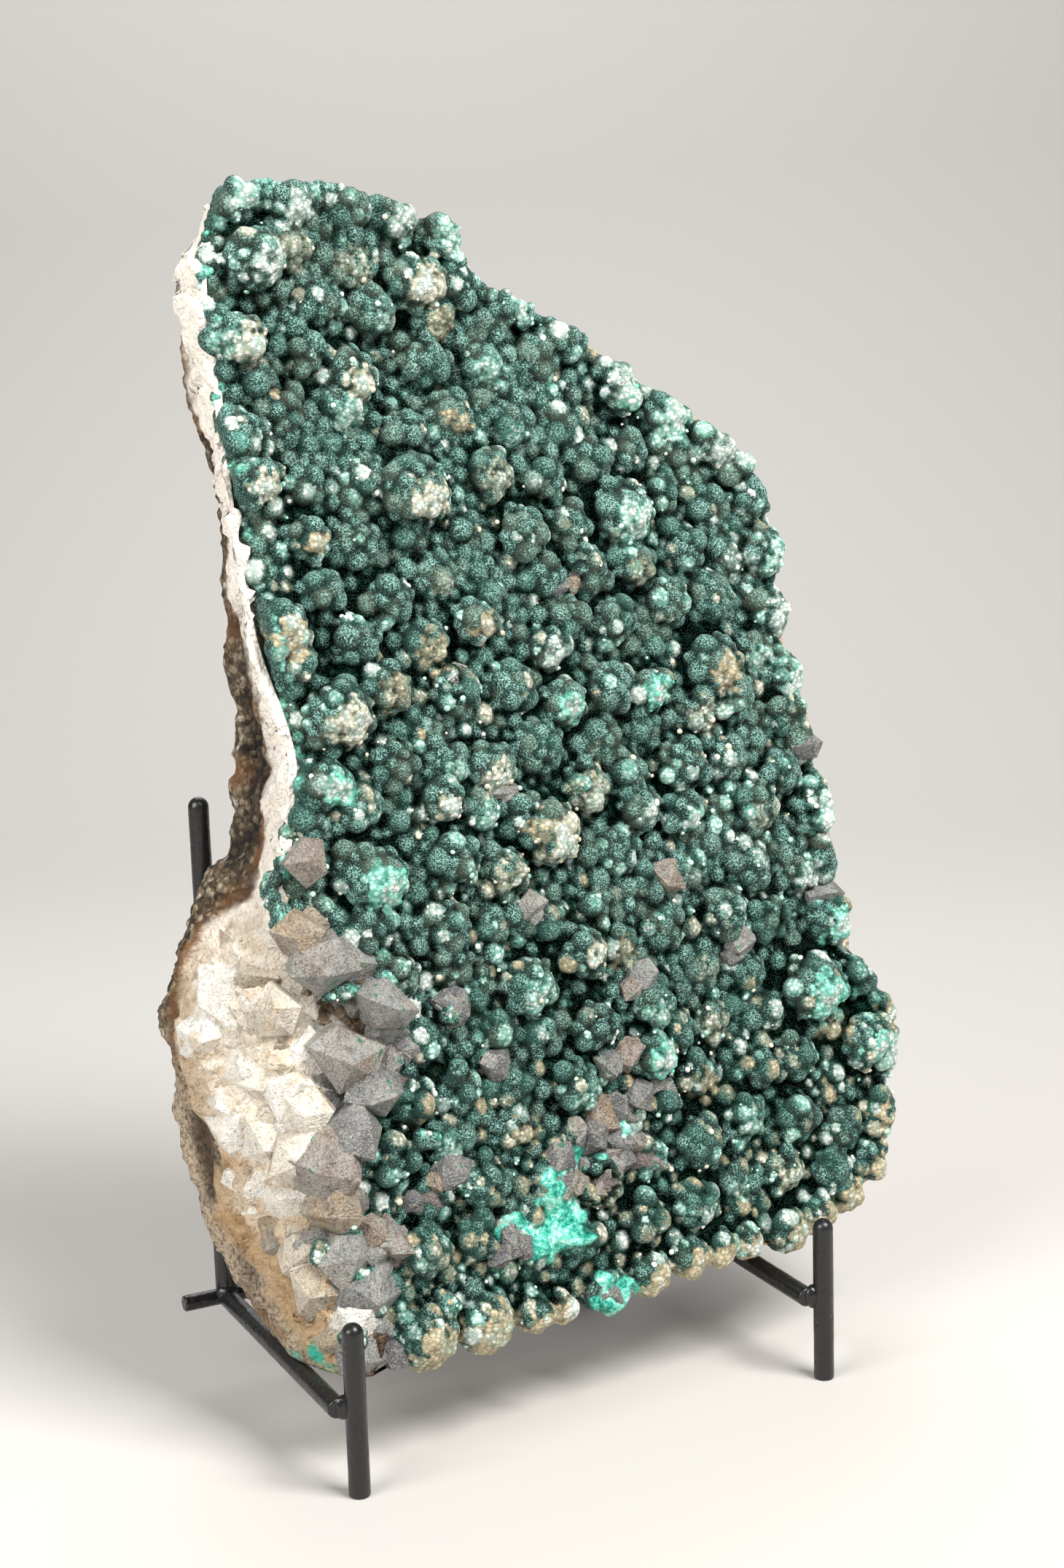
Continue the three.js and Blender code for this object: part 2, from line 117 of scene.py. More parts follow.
class Finish:
    """A material with a Principled BSDF, and short ways to add the nodes that feed it."""

    def __init__(self, name, **settings):
        self.material = bpy.data.materials.new(name)
        self.material.use_nodes = True
        self.tree = self.material.node_tree
        self.shader = self.tree.nodes["Principled BSDF"]
        self.fill(self.shader, settings)
        self.where = self.tree.nodes.new("ShaderNodeTexCoord").outputs["Object"]

    def put(self, value, target):
        """Links a socket, or sets a plain number or colour."""
        if isinstance(value, bpy.types.NodeSocket):
            self.tree.links.new(value, target)
        elif isinstance(value, tuple) and target.type == "RGBA":
            target.default_value = (*value, 1)
        else:
            target.default_value = value

    def fill(self, node, values):
        """Puts each value on the node's input of that name."""
        for name, value in values.items():
            self.put(value, node.inputs[name.replace("_", " ")])

    def feed(self, **values):
        """Feeds the shader, and gives the finished material."""
        self.fill(self.shader, values)
        return self.material

    def node(self, kind, result, **inputs):
        """The result of a new node of that kind."""
        node = self.tree.nodes.new(kind)
        self.fill(node, inputs)
        return node.outputs[result]

    def group(self, tree, **inputs):
        """The results of a shared effect, with this finish's own values."""
        node = self.tree.nodes.new("ShaderNodeGroup")
        node.node_tree = tree
        self.fill(node, inputs)
        return node.outputs

    def number(self, name):
        """A number that the mesh keeps for each of its points."""
        node = self.tree.nodes.new("ShaderNodeAttribute")
        node.attribute_name = name
        return node.outputs["Fac"]

    def noise(self, scale, detail=4.0, roughness=0.6, where=None):
        """Cloudy noise around 0.5, with so many lumps in a metre."""
        return self.node(
            "ShaderNodeTexNoise",
            "Fac",
            Vector=where or self.where,
            Scale=scale,
            Detail=detail,
            Roughness=roughness,
        )

    def fit(self, value, low, high, to_low=0.0, to_high=1.0):
        """Spreads low to high over to_low to to_high."""
        node = self.tree.nodes.new("ShaderNodeMapRange")
        names = ("Value", "From Min", "From Max", "To Min", "To Max")
        for name, item in zip(names, (value, low, high, to_low, to_high)):
            self.put(item, node.inputs[name])
        return node.outputs["Result"]

    def arithmetic(self, operation, a, b):
        """One sum with two numbers or sockets."""
        node = self.tree.nodes.new("ShaderNodeMath")
        node.operation = operation
        self.put(a, node.inputs[0])
        self.put(b, node.inputs[1])
        return node.outputs["Value"]

    def add(self, a, b):
        return self.arithmetic("ADD", a, b)

    def times(self, a, b):
        return self.arithmetic("MULTIPLY", a, b)

    def ramp(self, value, *stops):
        """Colours along a value: a place from 0 to 1 and a colour for each stop."""
        node = self.tree.nodes.new("ShaderNodeValToRGB")
        elements = node.color_ramp.elements
        while len(elements) < len(stops):
            elements.new(0.5)
        for element, (place, colour) in zip(elements, stops):
            element.position = place
            element.color = (*colour, 1)
        self.put(value, node.inputs["Fac"])
        return node.outputs["Color"]

    def mix(self, factor, a, b, blend="MIX"):
        """Colour a, with colour b laid over it as strongly as the factor says."""
        node = self.tree.nodes.new("ShaderNodeMix")
        node.data_type = "RGBA"
        node.blend_type = blend
        colours = [s for s in node.inputs if s.type == "RGBA"]
        self.put(factor, node.inputs[0])
        self.put(a, colours[0])
        self.put(b, colours[1])
        return [s for s in node.outputs if s.type == "RGBA"][0]

    def bump(self, height, strength, depth):
        """Fine relief of that depth in millimetres."""
        normal = self.node("ShaderNodeBump", "Normal", Height=height, Strength=strength, Distance=depth * MM)
        self.put(normal, self.shader.inputs["Normal"])


def black_coating():
    """Thick glossy black, with a faint orange peel and small pits."""
    finish = Finish("black_coating", Base_Color=(0.007, 0.007, 0.008), Coat_Weight=0.2, Coat_Roughness=0.12)
    peel = finish.noise(420, 3)
    pits = finish.node("ShaderNodeTexVoronoi", "Distance", Vector=finish.where, Scale=330.0)
    finish.bump(finish.add(peel, finish.fit(pits, 0.0, 0.28)), strength=0.5, depth=0.4)
    return finish.feed(Roughness=finish.fit(peel, 0.3, 0.7, 0.2, 0.48))


COATING = black_coating()


def rod_profile(length, radius, domed):
    """The rod's outline: how far along it each ring of points is, and how wide the ring is."""
    quarter = np.linspace(0, math.pi / 2, 7)
    foot = [
        (END_ROUNDING * radius * (1 - math.cos(a)), radius * (1 - END_ROUNDING + END_ROUNDING * math.sin(a)))
        for a in quarter
    ]
    rings = max(int(length / RING_SPACING), 2)
    straight = [(far, radius) for far in np.linspace(2, length - radius - 1, rings)]
    if domed:
        top = [(length - radius + radius * math.sin(a), radius * math.cos(a)) for a in quarter[:-1]]
    else:
        top = [(length - far, wide) for far, wide in reversed(foot)]
    return foot + straight + top


def tube_faces(rings, count):
    """Faces of a closed tube: quads between its rings of so many points, and a fan over each end, to
    the two middle points that come after the rings."""
    faces = []
    for ring in range(rings - 1):
        for i in range(count):
            a, b = ring * count + i, ring * count + (i + 1) % count
            faces.append((a, b, b + count, a + count))
    last = (rings - 1) * count
    for i in range(count):
        n = (i + 1) % count
        faces.append((rings * count, n, i))
        faces.append((rings * count + 1, last + i, last + n))
    return faces


def rod(name, start, end, diameter, domed=False):
    """A coated rod: its ends rounded by the coating, or its far end domed."""
    start = np.array(start, float)
    along = np.array(end, float) - start
    length = np.linalg.norm(along)
    along /= length
    side = np.cross(along, (0, 0, 1) if abs(along[2]) < 0.9 else (1, 0, 0))
    side /= np.linalg.norm(side)
    other = np.cross(along, side)
    turn = np.linspace(0, 2 * math.pi, ROD_SIDES, endpoint=False)
    ring = np.cos(turn)[:, None] * side + np.sin(turn)[:, None] * other
    profile = rod_profile(length, diameter / 2, domed)
    rings = [start + along * far + ring * wide for far, wide in profile]
    points = np.concatenate(rings + [[start, start + along * length]])
    wave = blur_lattice(points, WAVE_LENGTH, 2) - 0.5
    centre = start + ((points - start) @ along)[:, None] * along
    points = centre + (points - centre) * (1 + COATING_WAVE * wave[:, None])
    new_piece(name + "_coated", points, tube_faces(len(profile), ROD_SIDES), COATING, name)


def taken_apart(shape):
    """The points and faces of a shape, which is then freed."""
    points = np.array([v.co for v in shape.verts])
    faces = [[v.index for v in f.verts] for f in shape.faces]
    shape.free()
    return points, faces


def unit_ball(subdivisions):
    """The points and triangles of a ball of radius 1."""
    shape = bmesh.new()
    bmesh.ops.create_icosphere(shape, subdivisions=subdivisions, radius=1)
    return taken_apart(shape)


def weld(name, centre, half_sizes):
    """The smooth lump that the coating makes of a weld between two rods."""
    points, faces = unit_ball(4)
    swell = 1 + 0.22 * (blur_lattice(points, 0.7, len(name)) - 0.5)
    points = np.array(centre) + points * swell[:, None] * np.array(half_sizes)
    new_piece(name, points, faces, COATING)


def build_stand():
    arm_start = SHORT_OF_MIDDLE
    arm_end = BAR_Y - SHORT_OF_MIDDLE
    post_foot = ARM_HEIGHT + SHORT_OF_MIDDLE
    leg_top = ARM_HEIGHT - SHORT_OF_MIDDLE
    for side, x, inset in (("left", 0, LEG_INSET), ("right", PEG_SPACING, -LEG_INSET)):
        rail = x + ARM_OFFSET
        leg = rail + inset
        rod(f"front_peg_{side}", (x, 0, 0), (x, 0, PEG_HEIGHT), ROD, domed=True)
        rod(f"side_arm_{side}", (rail, arm_start, ARM_HEIGHT), (rail, arm_end, ARM_HEIGHT), ARM_ROD)
        rod(f"back_post_{side}", (rail, POST_Y, post_foot), (rail, POST_Y, POST_TOP), ROD, domed=True)
        rod(f"rear_leg_{side}", (leg, BAR_Y, 0), (leg, BAR_Y, leg_top), ROD)
        weld(f"weld_peg_{side}", (x + ARM_OFFSET / 2, 1.4, ARM_HEIGHT), PEG_WELD)
        weld(f"weld_post_{side}", (rail, BAR_Y - 1.2, ARM_HEIGHT + 1.4), POST_WELD)
        weld(f"weld_leg_{side}", (leg, BAR_Y, ARM_HEIGHT - 1.6), LEG_WELD)
    bar_left = ARM_OFFSET - BAR_OVERHANG
    bar_right = PEG_SPACING + ARM_OFFSET + BAR_OVERHANG
    rod("rear_crossbar", (bar_left, BAR_Y, ARM_HEIGHT), (bar_right, BAR_Y, ARM_HEIGHT), BAR_ROD)


build_stand()


# The body of the stone. Brown, grainy rock at the back with a band of massive cream quartz between it
# and the green crust. It was broken from a wall of rock, and its left flank shows the layers.
REST_GAP = 0.3
REST_Z = ARM_HEIGHT + ARM_ROD / 2 + REST_GAP
FACE_FOOT_Y = 6.0
LEAN = math.radians(13)
TURN = math.radians(4.5)
# The stone's front lies this far behind the face that the crust makes.
CRUST_DEPTH = 4.0

# Level outlines: height, left and right end of the green face, then the shoulder of the left flank,
# its outermost point, and the left and right corners of the back.
LEVELS = [
    (REST_Z, 8, 134, (0, 14), (-5, 30), (4, 46), (128, 49)),
    (31, 12, 142, (0, 16), (-8, 37), (-2, 54), (134, 54)),
    (44, 13, 155, (-1, 20), (-12, 43), (-6, 61), (144, 59)),
    (60, 11, 161, (-3, 24), (-15, 48), (-9, 66), (150, 63)),
    (78, 14, 164, (-5, 29), (-18, 52), (-10, 69), (153, 66)),
    (95, 24, 156, (-3, 33), (-20, 55), (-12, 70), (149, 68)),
    (110, 20, 152, (-3, 37), (-15, 57), (-8, 71), (146, 70)),
    (124, 6, 154, (0, 41), (-8, 58), (-3, 71.5), (147, 71)),
    (140, 6, 152, (5, 45), (2, 60), (5, 71), (145, 72)),
    (162, 10, 149, (8, 46), (6, 61), (8, 71), (142, 74)),
    (190, 4, 148, (4, 51), (3, 61), (7, 71), (140, 77)),
    (215, 3, 145, (3, 56), (2, 63), (7, 74), (135, 80)),
    (232, 3, 131, (2, 60), (1, 66), (6, 77), (122, 82)),
    (248, 3, 109, (0, 64), (-1, 70), (6, 80), (101, 84)),
    (262, 2, 88, (-1, 67), (-2, 72), (6, 82), (81, 85)),
    (275, 3, 68, (0, 70), (-1, 75), (8, 84), (62, 86)),
    (287, 9, 54, (8, 74), (9, 77), (14, 84), (48, 85)),
]
RIGHT_BULGE = 3
# The corners around a level are counted from the left end of the face. Every place around the stone
# is told on this scale, so that 10.5 is halfway from the flank's outermost point to its shoulder.
FACE_STEPS = 4
BACK_STEPS = 3
RIGHT_SIDE = FACE_STEPS + 1
BACK_RIGHT = RIGHT_SIDE + 1
BACK_LEFT = BACK_RIGHT + BACK_STEPS
FLANK = BACK_LEFT + 1
SHOULDER = FLANK + 1
RING_END = SHOULDER + 1

# Swells and hollows of the face: x and z of the middle, half width, half height, and how far it
# stands out: the ridge along the top, the hollow under it and the swell of the foot.
FACE_SWELLS = [(35, 284, 30, 13, 4), (42, 250, 24, 14, -4), (25, 30, 26, 16, 3)]


def relief(x, z):
    """How far the face stands out of its plane: long low ridges, swells and hollows."""
    height = 1.6 * np.sin(x / 15 + 1.2 * np.sin(z / 31)) * np.cos(z / 21 - 0.6)
    for middle_x, middle_z, half_width, half_height, rise in FACE_SWELLS:
        across, up = (x - middle_x) / half_width, (z - middle_z) / half_height
        height = height + rise * np.exp(-(across**2) - up**2)
    return height


def face_y(x, z):
    return FACE_FOOT_Y + (z - REST_Z) * math.tan(LEAN) + x * math.tan(TURN) - relief(x, z)


def level_points(level):
    """Corners around one level, anticlockwise seen from above, starting at the face's left end."""
    z, left, right, shoulder, flank, back_left, back_right = level
    across = np.linspace(left, right, FACE_STEPS + 1)
    points = [(x, face_y(x, z) + CRUST_DEPTH, z) for x in across]
    furthest_right = max(right, back_right[0]) + RIGHT_BULGE
    points.append((furthest_right, (points[-1][1] + back_right[1]) / 2, z))
    for step in range(BACK_STEPS + 1):
        part = step / BACK_STEPS
        points.append((*(np.array(back_right) * (1 - part) + np.array(back_left) * part), z))
    points.append((*flank, z))
    points.append((*shoulder, z))
    return points


def smooth_curve(knots, at, tension, closed=False):
    """Points of a smooth curve through the knots, at these places counted in knots."""
    spans = len(knots) if closed else len(knots) - 1
    if closed:
        padded = knots[np.arange(-1, len(knots) + 2) % len(knots)]
    else:
        padded = np.concatenate([[2 * knots[0] - knots[1]], knots, [2 * knots[-1] - knots[-2]]])
    span = np.minimum(at.astype(int), spans - 1)
    t = (at - span).reshape((-1,) + (1,) * (knots.ndim - 1))
    before, start, end, after = (padded[span + k] for k in range(4))
    leave = tension * (end - before)
    arrive = tension * (after - start)
    return (
        (2 * t**3 - 3 * t**2 + 1) * start
        + (t**3 - 2 * t**2 + t) * leave
        + (3 * t**2 - 2 * t**3) * end
        + (t**3 - t**2) * arrive
    )


def cell_noise(points, size, seed):
    """For each point, how far it is from the middle of its grain, and the height there of the grain's
    own flat slanting face."""
    p = np.asarray(points, float) / size + seed * 7.77
    base = np.floor(p).astype(np.int64)
    nearest = np.full(len(p), 9.0)
    slant = np.zeros(len(p))
    for dx in (-1, 0, 1):
        for dy in (-1, 0, 1):
            for dz in (-1, 0, 1):
                cell = base + (dx, dy, dz)
                offset = cell + np.stack([lattice_value(cell + 31 * k) for k in range(3)], axis=1) - p
                far = np.linalg.norm(offset, axis=1)
                tilt = np.stack([lattice_value(cell + 47 * k + 9) - 0.5 for k in range(3)], axis=1)
                slant = np.where(far < nearest, (offset * tilt).sum(axis=1), slant)
                nearest = np.minimum(far, nearest)
    return nearest, slant


def smoothstep(low, high, value):
    t = np.clip((value - low) / (high - low), 0, 1)
    return t * t * (3 - 2 * t)


def add_numbers(mesh, name, values):
    """Keeps one number for each vertex, for the material to read."""
    numbers = mesh.attributes.new(name, "FLOAT", "POINT")
    numbers.data.foreach_set("value", np.asarray(values, np.float32))


def outward_of(grid):
    """Unit vectors at right angles to a grid of points that closes on itself sideways."""
    across = np.roll(grid, -1, axis=1) - np.roll(grid, 1, axis=1)
    normal = np.cross(across, np.gradient(grid, axis=0))
    return normal / np.maximum(np.linalg.norm(normal, axis=2, keepdims=True), 1e-9)


def shared_effect(name, inputs, results):
    """A group for an effect that several materials use, with the usual value of each input. Gives the
    group, the sockets that bring its inputs in and those that take its results."""
    tree = bpy.data.node_groups.new(name, "ShaderNodeTree")
    for socket, usual in inputs.items():
        made = tree.interface.new_socket(socket, in_out="INPUT", socket_type="NodeSocketFloat")
        made.default_value = usual
    for socket in results:
        tree.interface.new_socket(socket, in_out="OUTPUT", socket_type="NodeSocketFloat")
    given = tree.nodes.new("NodeGroupInput")
    result = tree.nodes.new("NodeGroupOutput")
    return tree, given.outputs, result.inputs


def mineral_grain():
    """Shared effect: specks of light and dark, the light ones partly painted glints, and the height of small
    grains, for every stone.
    """
    tree, given, result = shared_effect(
        "mineral_grain", {"Grains per metre": 900.0, "Speck": 0.3}, ("Shade", "Speck and glint mask", "Height")
    )
    where = tree.nodes.new("ShaderNodeTexCoord").outputs["Object"]
    shade = tree.nodes.new("ShaderNodeTexNoise")
    shade.inputs["Detail"].default_value = 4.0
    shade.inputs["Roughness"].default_value = 0.72
    cells = tree.nodes.new("ShaderNodeTexVoronoi")
    smaller = tree.nodes.new("ShaderNodeMath")
    smaller.operation = "MULTIPLY"
    smaller.inputs[1].default_value = 1.3
    speck = tree.nodes.new("ShaderNodeMapRange")
    speck.inputs["From Min"].default_value = 0.24
    speck.inputs["From Max"].default_value = 0.14
    lit = tree.nodes.new("ShaderNodeMath")
    lit.operation = "MULTIPLY"
    round_top = tree.nodes.new("ShaderNodeMath")
    round_top.operation = "SUBTRACT"
    links = (
        (where, shade.inputs["Vector"]),
        (where, cells.inputs["Vector"]),
        (given["Grains per metre"], shade.inputs["Scale"]),
        (given["Grains per metre"], smaller.inputs[0]),
        (smaller.outputs["Value"], cells.inputs["Scale"]),
        (cells.outputs["Distance"], speck.inputs["Value"]),
        (speck.outputs["Result"], lit.inputs[0]),
        (given["Speck"], lit.inputs[1]),
        (shade.outputs["Fac"], round_top.inputs[0]),
        (cells.outputs["Distance"], round_top.inputs[1]),
        (shade.outputs["Fac"], result["Shade"]),
        (lit.outputs["Value"], result["Speck and glint mask"]),
        (round_top.outputs["Value"], result["Height"]),
    )
    for start, end in links:
        tree.links.new(start, end)
    return tree


def packed_granules():
    """Shared effect: round granules packed side by side, each with a number of its own."""
    tree, given, result = shared_effect(
        "packed_granules", {"Granules per metre": 800.0}, ("Own number", "Dome")
    )
    where = tree.nodes.new("ShaderNodeTexCoord").outputs["Object"]
    cells = tree.nodes.new("ShaderNodeTexVoronoi")
    parts = tree.nodes.new("ShaderNodeSeparateColor")
    dome = tree.nodes.new("ShaderNodeMapRange")
    dome.inputs["From Min"].default_value = 0.62
    dome.inputs["From Max"].default_value = 0.1
    links = (
        (where, cells.inputs["Vector"]),
        (given["Granules per metre"], cells.inputs["Scale"]),
        (cells.outputs["Color"], parts.inputs["Color"]),
        (cells.outputs["Distance"], dome.inputs["Value"]),
        (parts.outputs["Red"], result["Own number"]),
        (dome.outputs["Result"], result["Dome"]),
    )
    for start, end in links:
        tree.links.new(start, end)
    return tree


GRAIN = mineral_grain()
GRANULES = packed_granules()


def rock_finish():
    """Brown grainy rock and cream quartz, told apart by the numbers kept in the mesh, with painted shade in
    the rock's hollows.
    """
    finish = Finish("brown_rock_and_quartz")
    grain = finish.group(GRAIN, Grains_per_metre=850.0, Speck=0.8)
    pebbles = finish.group(GRANULES, Granules_per_metre=620.0)
    rock = finish.ramp(
        pebbles["Own number"],
        (0.05, (0.03, 0.02, 0.01)),
        (0.3, (0.17, 0.125, 0.075)),
        (0.55, (0.36, 0.29, 0.2)),
        (0.8, (0.55, 0.48, 0.36)),
        (1.0, (0.8, 0.76, 0.68)),
    )
    between_pebbles = finish.fit(pebbles["Dome"], 0.45, 0.0, 0.0, 0.6)
    rock = finish.mix(between_pebbles, rock, (0.06, 0.042, 0.025))
    dark_grains = finish.fit(grain["Shade"], 0.4, 0.62, 0.8, 0.0)
    rock = finish.mix(dark_grains, rock, (0.3, 0.24, 0.17), "MULTIPLY")
    patches = finish.ramp(finish.noise(75), (0.4, (0, 0, 0)), (0.62, (0.9, 0.9, 0.9)))
    rock = finish.mix(patches, rock, (0.42, 0.33, 0.2), "MULTIPLY")
    sand = finish.fit(grain["Shade"], 0.35, 0.6, 0.0, finish.number("sandy"))
    rock = finish.mix(sand, rock, (0.5, 0.4, 0.29))
    rock = finish.mix(finish.number("rust"), rock, (0.2, 0.085, 0.025))
    milky = finish.ramp(
        finish.noise(330, 6, 0.7),
        (0.3, (0.36, 0.27, 0.18)),
        (0.45, (0.64, 0.55, 0.43)),
        (0.6, (0.82, 0.76, 0.66)),
        (0.75, (0.92, 0.89, 0.83)),
    )
    milky = finish.mix(finish.number("tan"), milky, (0.55, 0.4, 0.24), "MULTIPLY")
    tan_parts = finish.ramp(finish.noise(60), (0.5, (0, 0, 0)), (0.68, (0.7, 0.7, 0.7)))
    milky = finish.mix(tan_parts, milky, (0.5, 0.37, 0.24))
    milky = finish.mix(finish.number("bright"), milky, (0.97, 0.93, 0.87))
    colour = finish.mix(finish.number("quartz"), rock, milky)
    colour = finish.mix(finish.number("stain"), colour, (0.03, 0.4, 0.28))
    # Painted shade: darker in the rock's low places, in the cavity and beside the crust.
    colour = finish.mix(finish.number("hollow_shade"), colour, (0.16, 0.12, 0.08), "MULTIPLY")
    height = finish.add(grain["Height"], finish.times(pebbles["Dome"], 0.8))
    finish.bump(height, strength=0.8, depth=0.6)
    return finish.feed(
        Base_Color=colour,
        Roughness=finish.fit(finish.number("quartz"), 0.0, 1.0, 0.8, 0.42),
    )


ROCK_ROWS = 240
# Columns of points from corner to corner: the first and last corner, and how many.
ROCK_COLUMNS = (
    (0, FACE_STEPS, 50),
    (FACE_STEPS, BACK_RIGHT, 52),
    (BACK_RIGHT, BACK_LEFT, 108),
    (BACK_LEFT, RING_END, 90),
)
ROCK_AROUND = sum(count for _, _, count in ROCK_COLUMNS)


def rock_surface():
    """The smooth surface of the broken stone: its points row by row from the foot up, the way out at
    each, and its place around the stone."""
    columns = [np.linspace(start, end, count, endpoint=False) for start, end, count in ROCK_COLUMNS]
    around = np.concatenate(columns)
    corners = np.array([level_points(level) for level in LEVELS], float)
    corners = smooth_curve(corners, np.linspace(0, len(LEVELS) - 1, ROCK_ROWS), 0.5)
    grid = smooth_curve(corners.transpose(1, 0, 2), around, 0.4, closed=True).transpose(1, 0, 2)
    outward = outward_of(grid).reshape(-1, 3)
    return grid.reshape(-1, 3), outward, np.tile(around, ROCK_ROWS)


# Where the quartz band starts on the left flank: height and place around the stone.
BAND_START = [
    (24, 10.7), (45, 10.4), (60, 10.1), (110, 10.15), (130, 10.35), (160, 10.35), (185, 10.2), (215, 9.9),
]
# The cavity in the flank above the shoulder, darkened with painted shade: its height and half height,
# its half width around the stone, and its depth.
CAVITY_Z = 163
CAVITY_HALF_HEIGHT = 20
CAVITY_HALF_RING = 0.32
CAVITY_DEPTH = 4.5


def rock_layers(points, ring):
    """How the layers run: how much their edges wander, how far past the start of the quartz band each
    point is, how much of it is quartz, and how deep it is in the cavity."""
    z = points[:, 2]
    wander = 0.7 * (blur_lattice(points, 14, 3) - 0.5) + 0.3 * (blur_lattice(points, 4, 5) - 0.5)
    past_start = ring - np.interp(z, *np.transpose(BAND_START)) + wander
    at_crust = smoothstep(-0.1, 0.1, 4.9 + wander - ring) * (ring < RIGHT_SIDE + 1)
    quartz = np.maximum(smoothstep(-0.06, 0.06, past_start), at_crust)
    around, up = (ring - FLANK) / CAVITY_HALF_RING, (z - CAVITY_Z) / CAVITY_HALF_HEIGHT
    return wander, past_start, quartz, np.exp(-(around**2) - up**2)


def behind_crust(ring):
    return smoothstep(FACE_STEPS + 0.35, FACE_STEPS + 0.1, ring) * (ring < FACE_STEPS + 1)


def rock_relief(points, ring, quartz, lumps, cavity):
    """How far the stone stands out of its smooth surface: in blocks where it is quartz, in lumps and
    grains where it is rock, and not at all behind the crust, along its upper left edge and where the
    stone rests. The upper right edge is drawn in."""
    z = points[:, 2]
    _, slant = cell_noise(points * (1, 1, 1.2), 8.5, 1)
    _, small_slant = cell_noise(points, 3.1, 2)
    blocky = 5.0 * slant + 2.2 * small_slant
    grain, _ = cell_noise(points, 2.4, 4)
    fine_grain, _ = cell_noise(points, 1.5, 6)
    grainy = lumps + 1.3 * (0.55 - grain) + 0.8 * (0.5 - fine_grain)
    height = quartz * blocky + (1 - quartz) * grainy - CAVITY_DEPTH * cavity
    left_edge = smoothstep(11.5, 12.0, ring) * smoothstep(122, 134, z)
    height *= (1 - behind_crust(ring)) * (1 - left_edge)
    right_edge = smoothstep(165, 195, z) * (ring > FACE_STEPS - 0.3) * (ring < BACK_RIGHT)
    height -= 3.0 * right_edge
    at_foot = smoothstep(0, 6, z - REST_Z)
    return height * at_foot * (ring > 0)


def fit_stone(points, z, ring):
    """Draws the stone in behind the crust and under its edges, and keeps it in front of the back posts
    and above the arms. z is the height that each point had on the smooth surface."""
    left_end, right_end = (points[ring == end, 0].repeat(ROCK_AROUND) for end in (0, FACE_STEPS))
    from_left = points[:, 0] - left_end + 9 * smoothstep(130, 118, z)
    from_edge = np.minimum(from_left, right_end - points[:, 0])
    rounding = smoothstep(7, 0, from_edge) * (ring <= FACE_STEPS)
    points[:, 1] += 2.0 * behind_crust(ring) + 4.5 * rounding
    post_front = POST_Y - ROD / 2 - 0.5
    furthest_back = post_front + np.maximum(z - POST_TOP, 0) * math.tan(LEAN)
    points[:, 1] = np.minimum(points[:, 1], furthest_back)
    behind_face = points[:, 1] - face_y(points[:, 0], points[:, 2])
    undercut = 4.5 * smoothstep(18, 8, behind_face) * smoothstep(8, 14, points[:, 0]) * (ring < 11.5)
    points[:, 2] = np.maximum(points[:, 2], REST_Z + undercut)


def rock_paint(points, z, ring, layers, lumps):
    """The numbers that tell the material what shows at each point and where it paints shade. z is the
    height that it had on the smooth surface."""
    wander, past_start, quartz, cavity = layers
    streak = np.exp(-(((past_start + 0.1) / 0.13) ** 2)) * smoothstep(84, 104, z) * smoothstep(172, 150, z)
    blotch = 0.6 * smoothstep(0.62, 0.8, blur_lattice(points, 9, 12)) * (1 - quartz)
    rust = np.clip(streak * (0.1 + 1.1 * blur_lattice(points, 5, 14)) + blotch, 0, 1)
    at_foot = np.exp(-((points[:, 0] + 1) ** 2 / 60 + (points[:, 1] - 22) ** 2 / 90 + (z - 27) ** 2 / 8))
    stain = 1.4 * at_foot * smoothstep(0.3, 0.6, blur_lattice(points, 3, 22))
    # Painted shade: in the low places of the rock's lumps, in the cavity, and on the strip beside the crust.
    hollow_shade = np.clip((1 - quartz) * smoothstep(0.8, -2.0, lumps) + 1.3 * cavity, 0, 1)
    beside_crust = (smoothstep(11.15, 11.5, ring) + (ring < 1.3)) * smoothstep(132, 118, z)
    return {
        "quartz": quartz,
        "rust": rust * (1 - 0.6 * quartz),
        "stain": np.clip(stain, 0, 1),
        "hollow_shade": np.maximum(hollow_shade, np.clip(beside_crust, 0, 1)),
        "tan": smoothstep(75, 45, z + 30 * wander) + smoothstep(0.5, 0.15, past_start) * 0.6,
        "sandy": smoothstep(108, 84, z + 12 * wander) * smoothstep(7.5, 8.7, ring + 1.6 * wander),
        "bright": 0.65 * smoothstep(112, 130, z + 12 * wander) * (ring > 8),
    }


def build_rock(smooth, outward, ring):
    z = smooth[:, 2]
    layers = rock_layers(smooth, ring)
    _, _, quartz, cavity = layers
    lumps = 5.0 * (blur_lattice(smooth, 13, 7) - 0.5) + 2.4 * (blur_lattice(smooth, 5, 9) - 0.5)
    points = smooth + outward * rock_relief(smooth, ring, quartz, lumps, cavity)[:, None]
    fit_stone(points, z, ring)
    ends = [points[:ROCK_AROUND].mean(axis=0), points[-ROCK_AROUND:].mean(axis=0)]
    faces = tube_faces(ROCK_ROWS, ROCK_AROUND)
    closed = np.concatenate([points, ends])
    piece = new_piece("stone_body", closed, faces, rock_finish(), "specimen")
    for name, values in rock_paint(points, z, ring, layers, lumps).items():
        add_numbers(piece.data, name, np.append(values, [0, 0]))


rock_points, rock_outward, rock_ring = rock_surface()
build_rock(rock_points, rock_outward, rock_ring)


# The malachite crust. Blue-green velvet of very fine fibres, grown in beads on rounded knobs, and the
# knobs on bigger mounds. It has grown onto the quartz and wraps over the edges of the face.

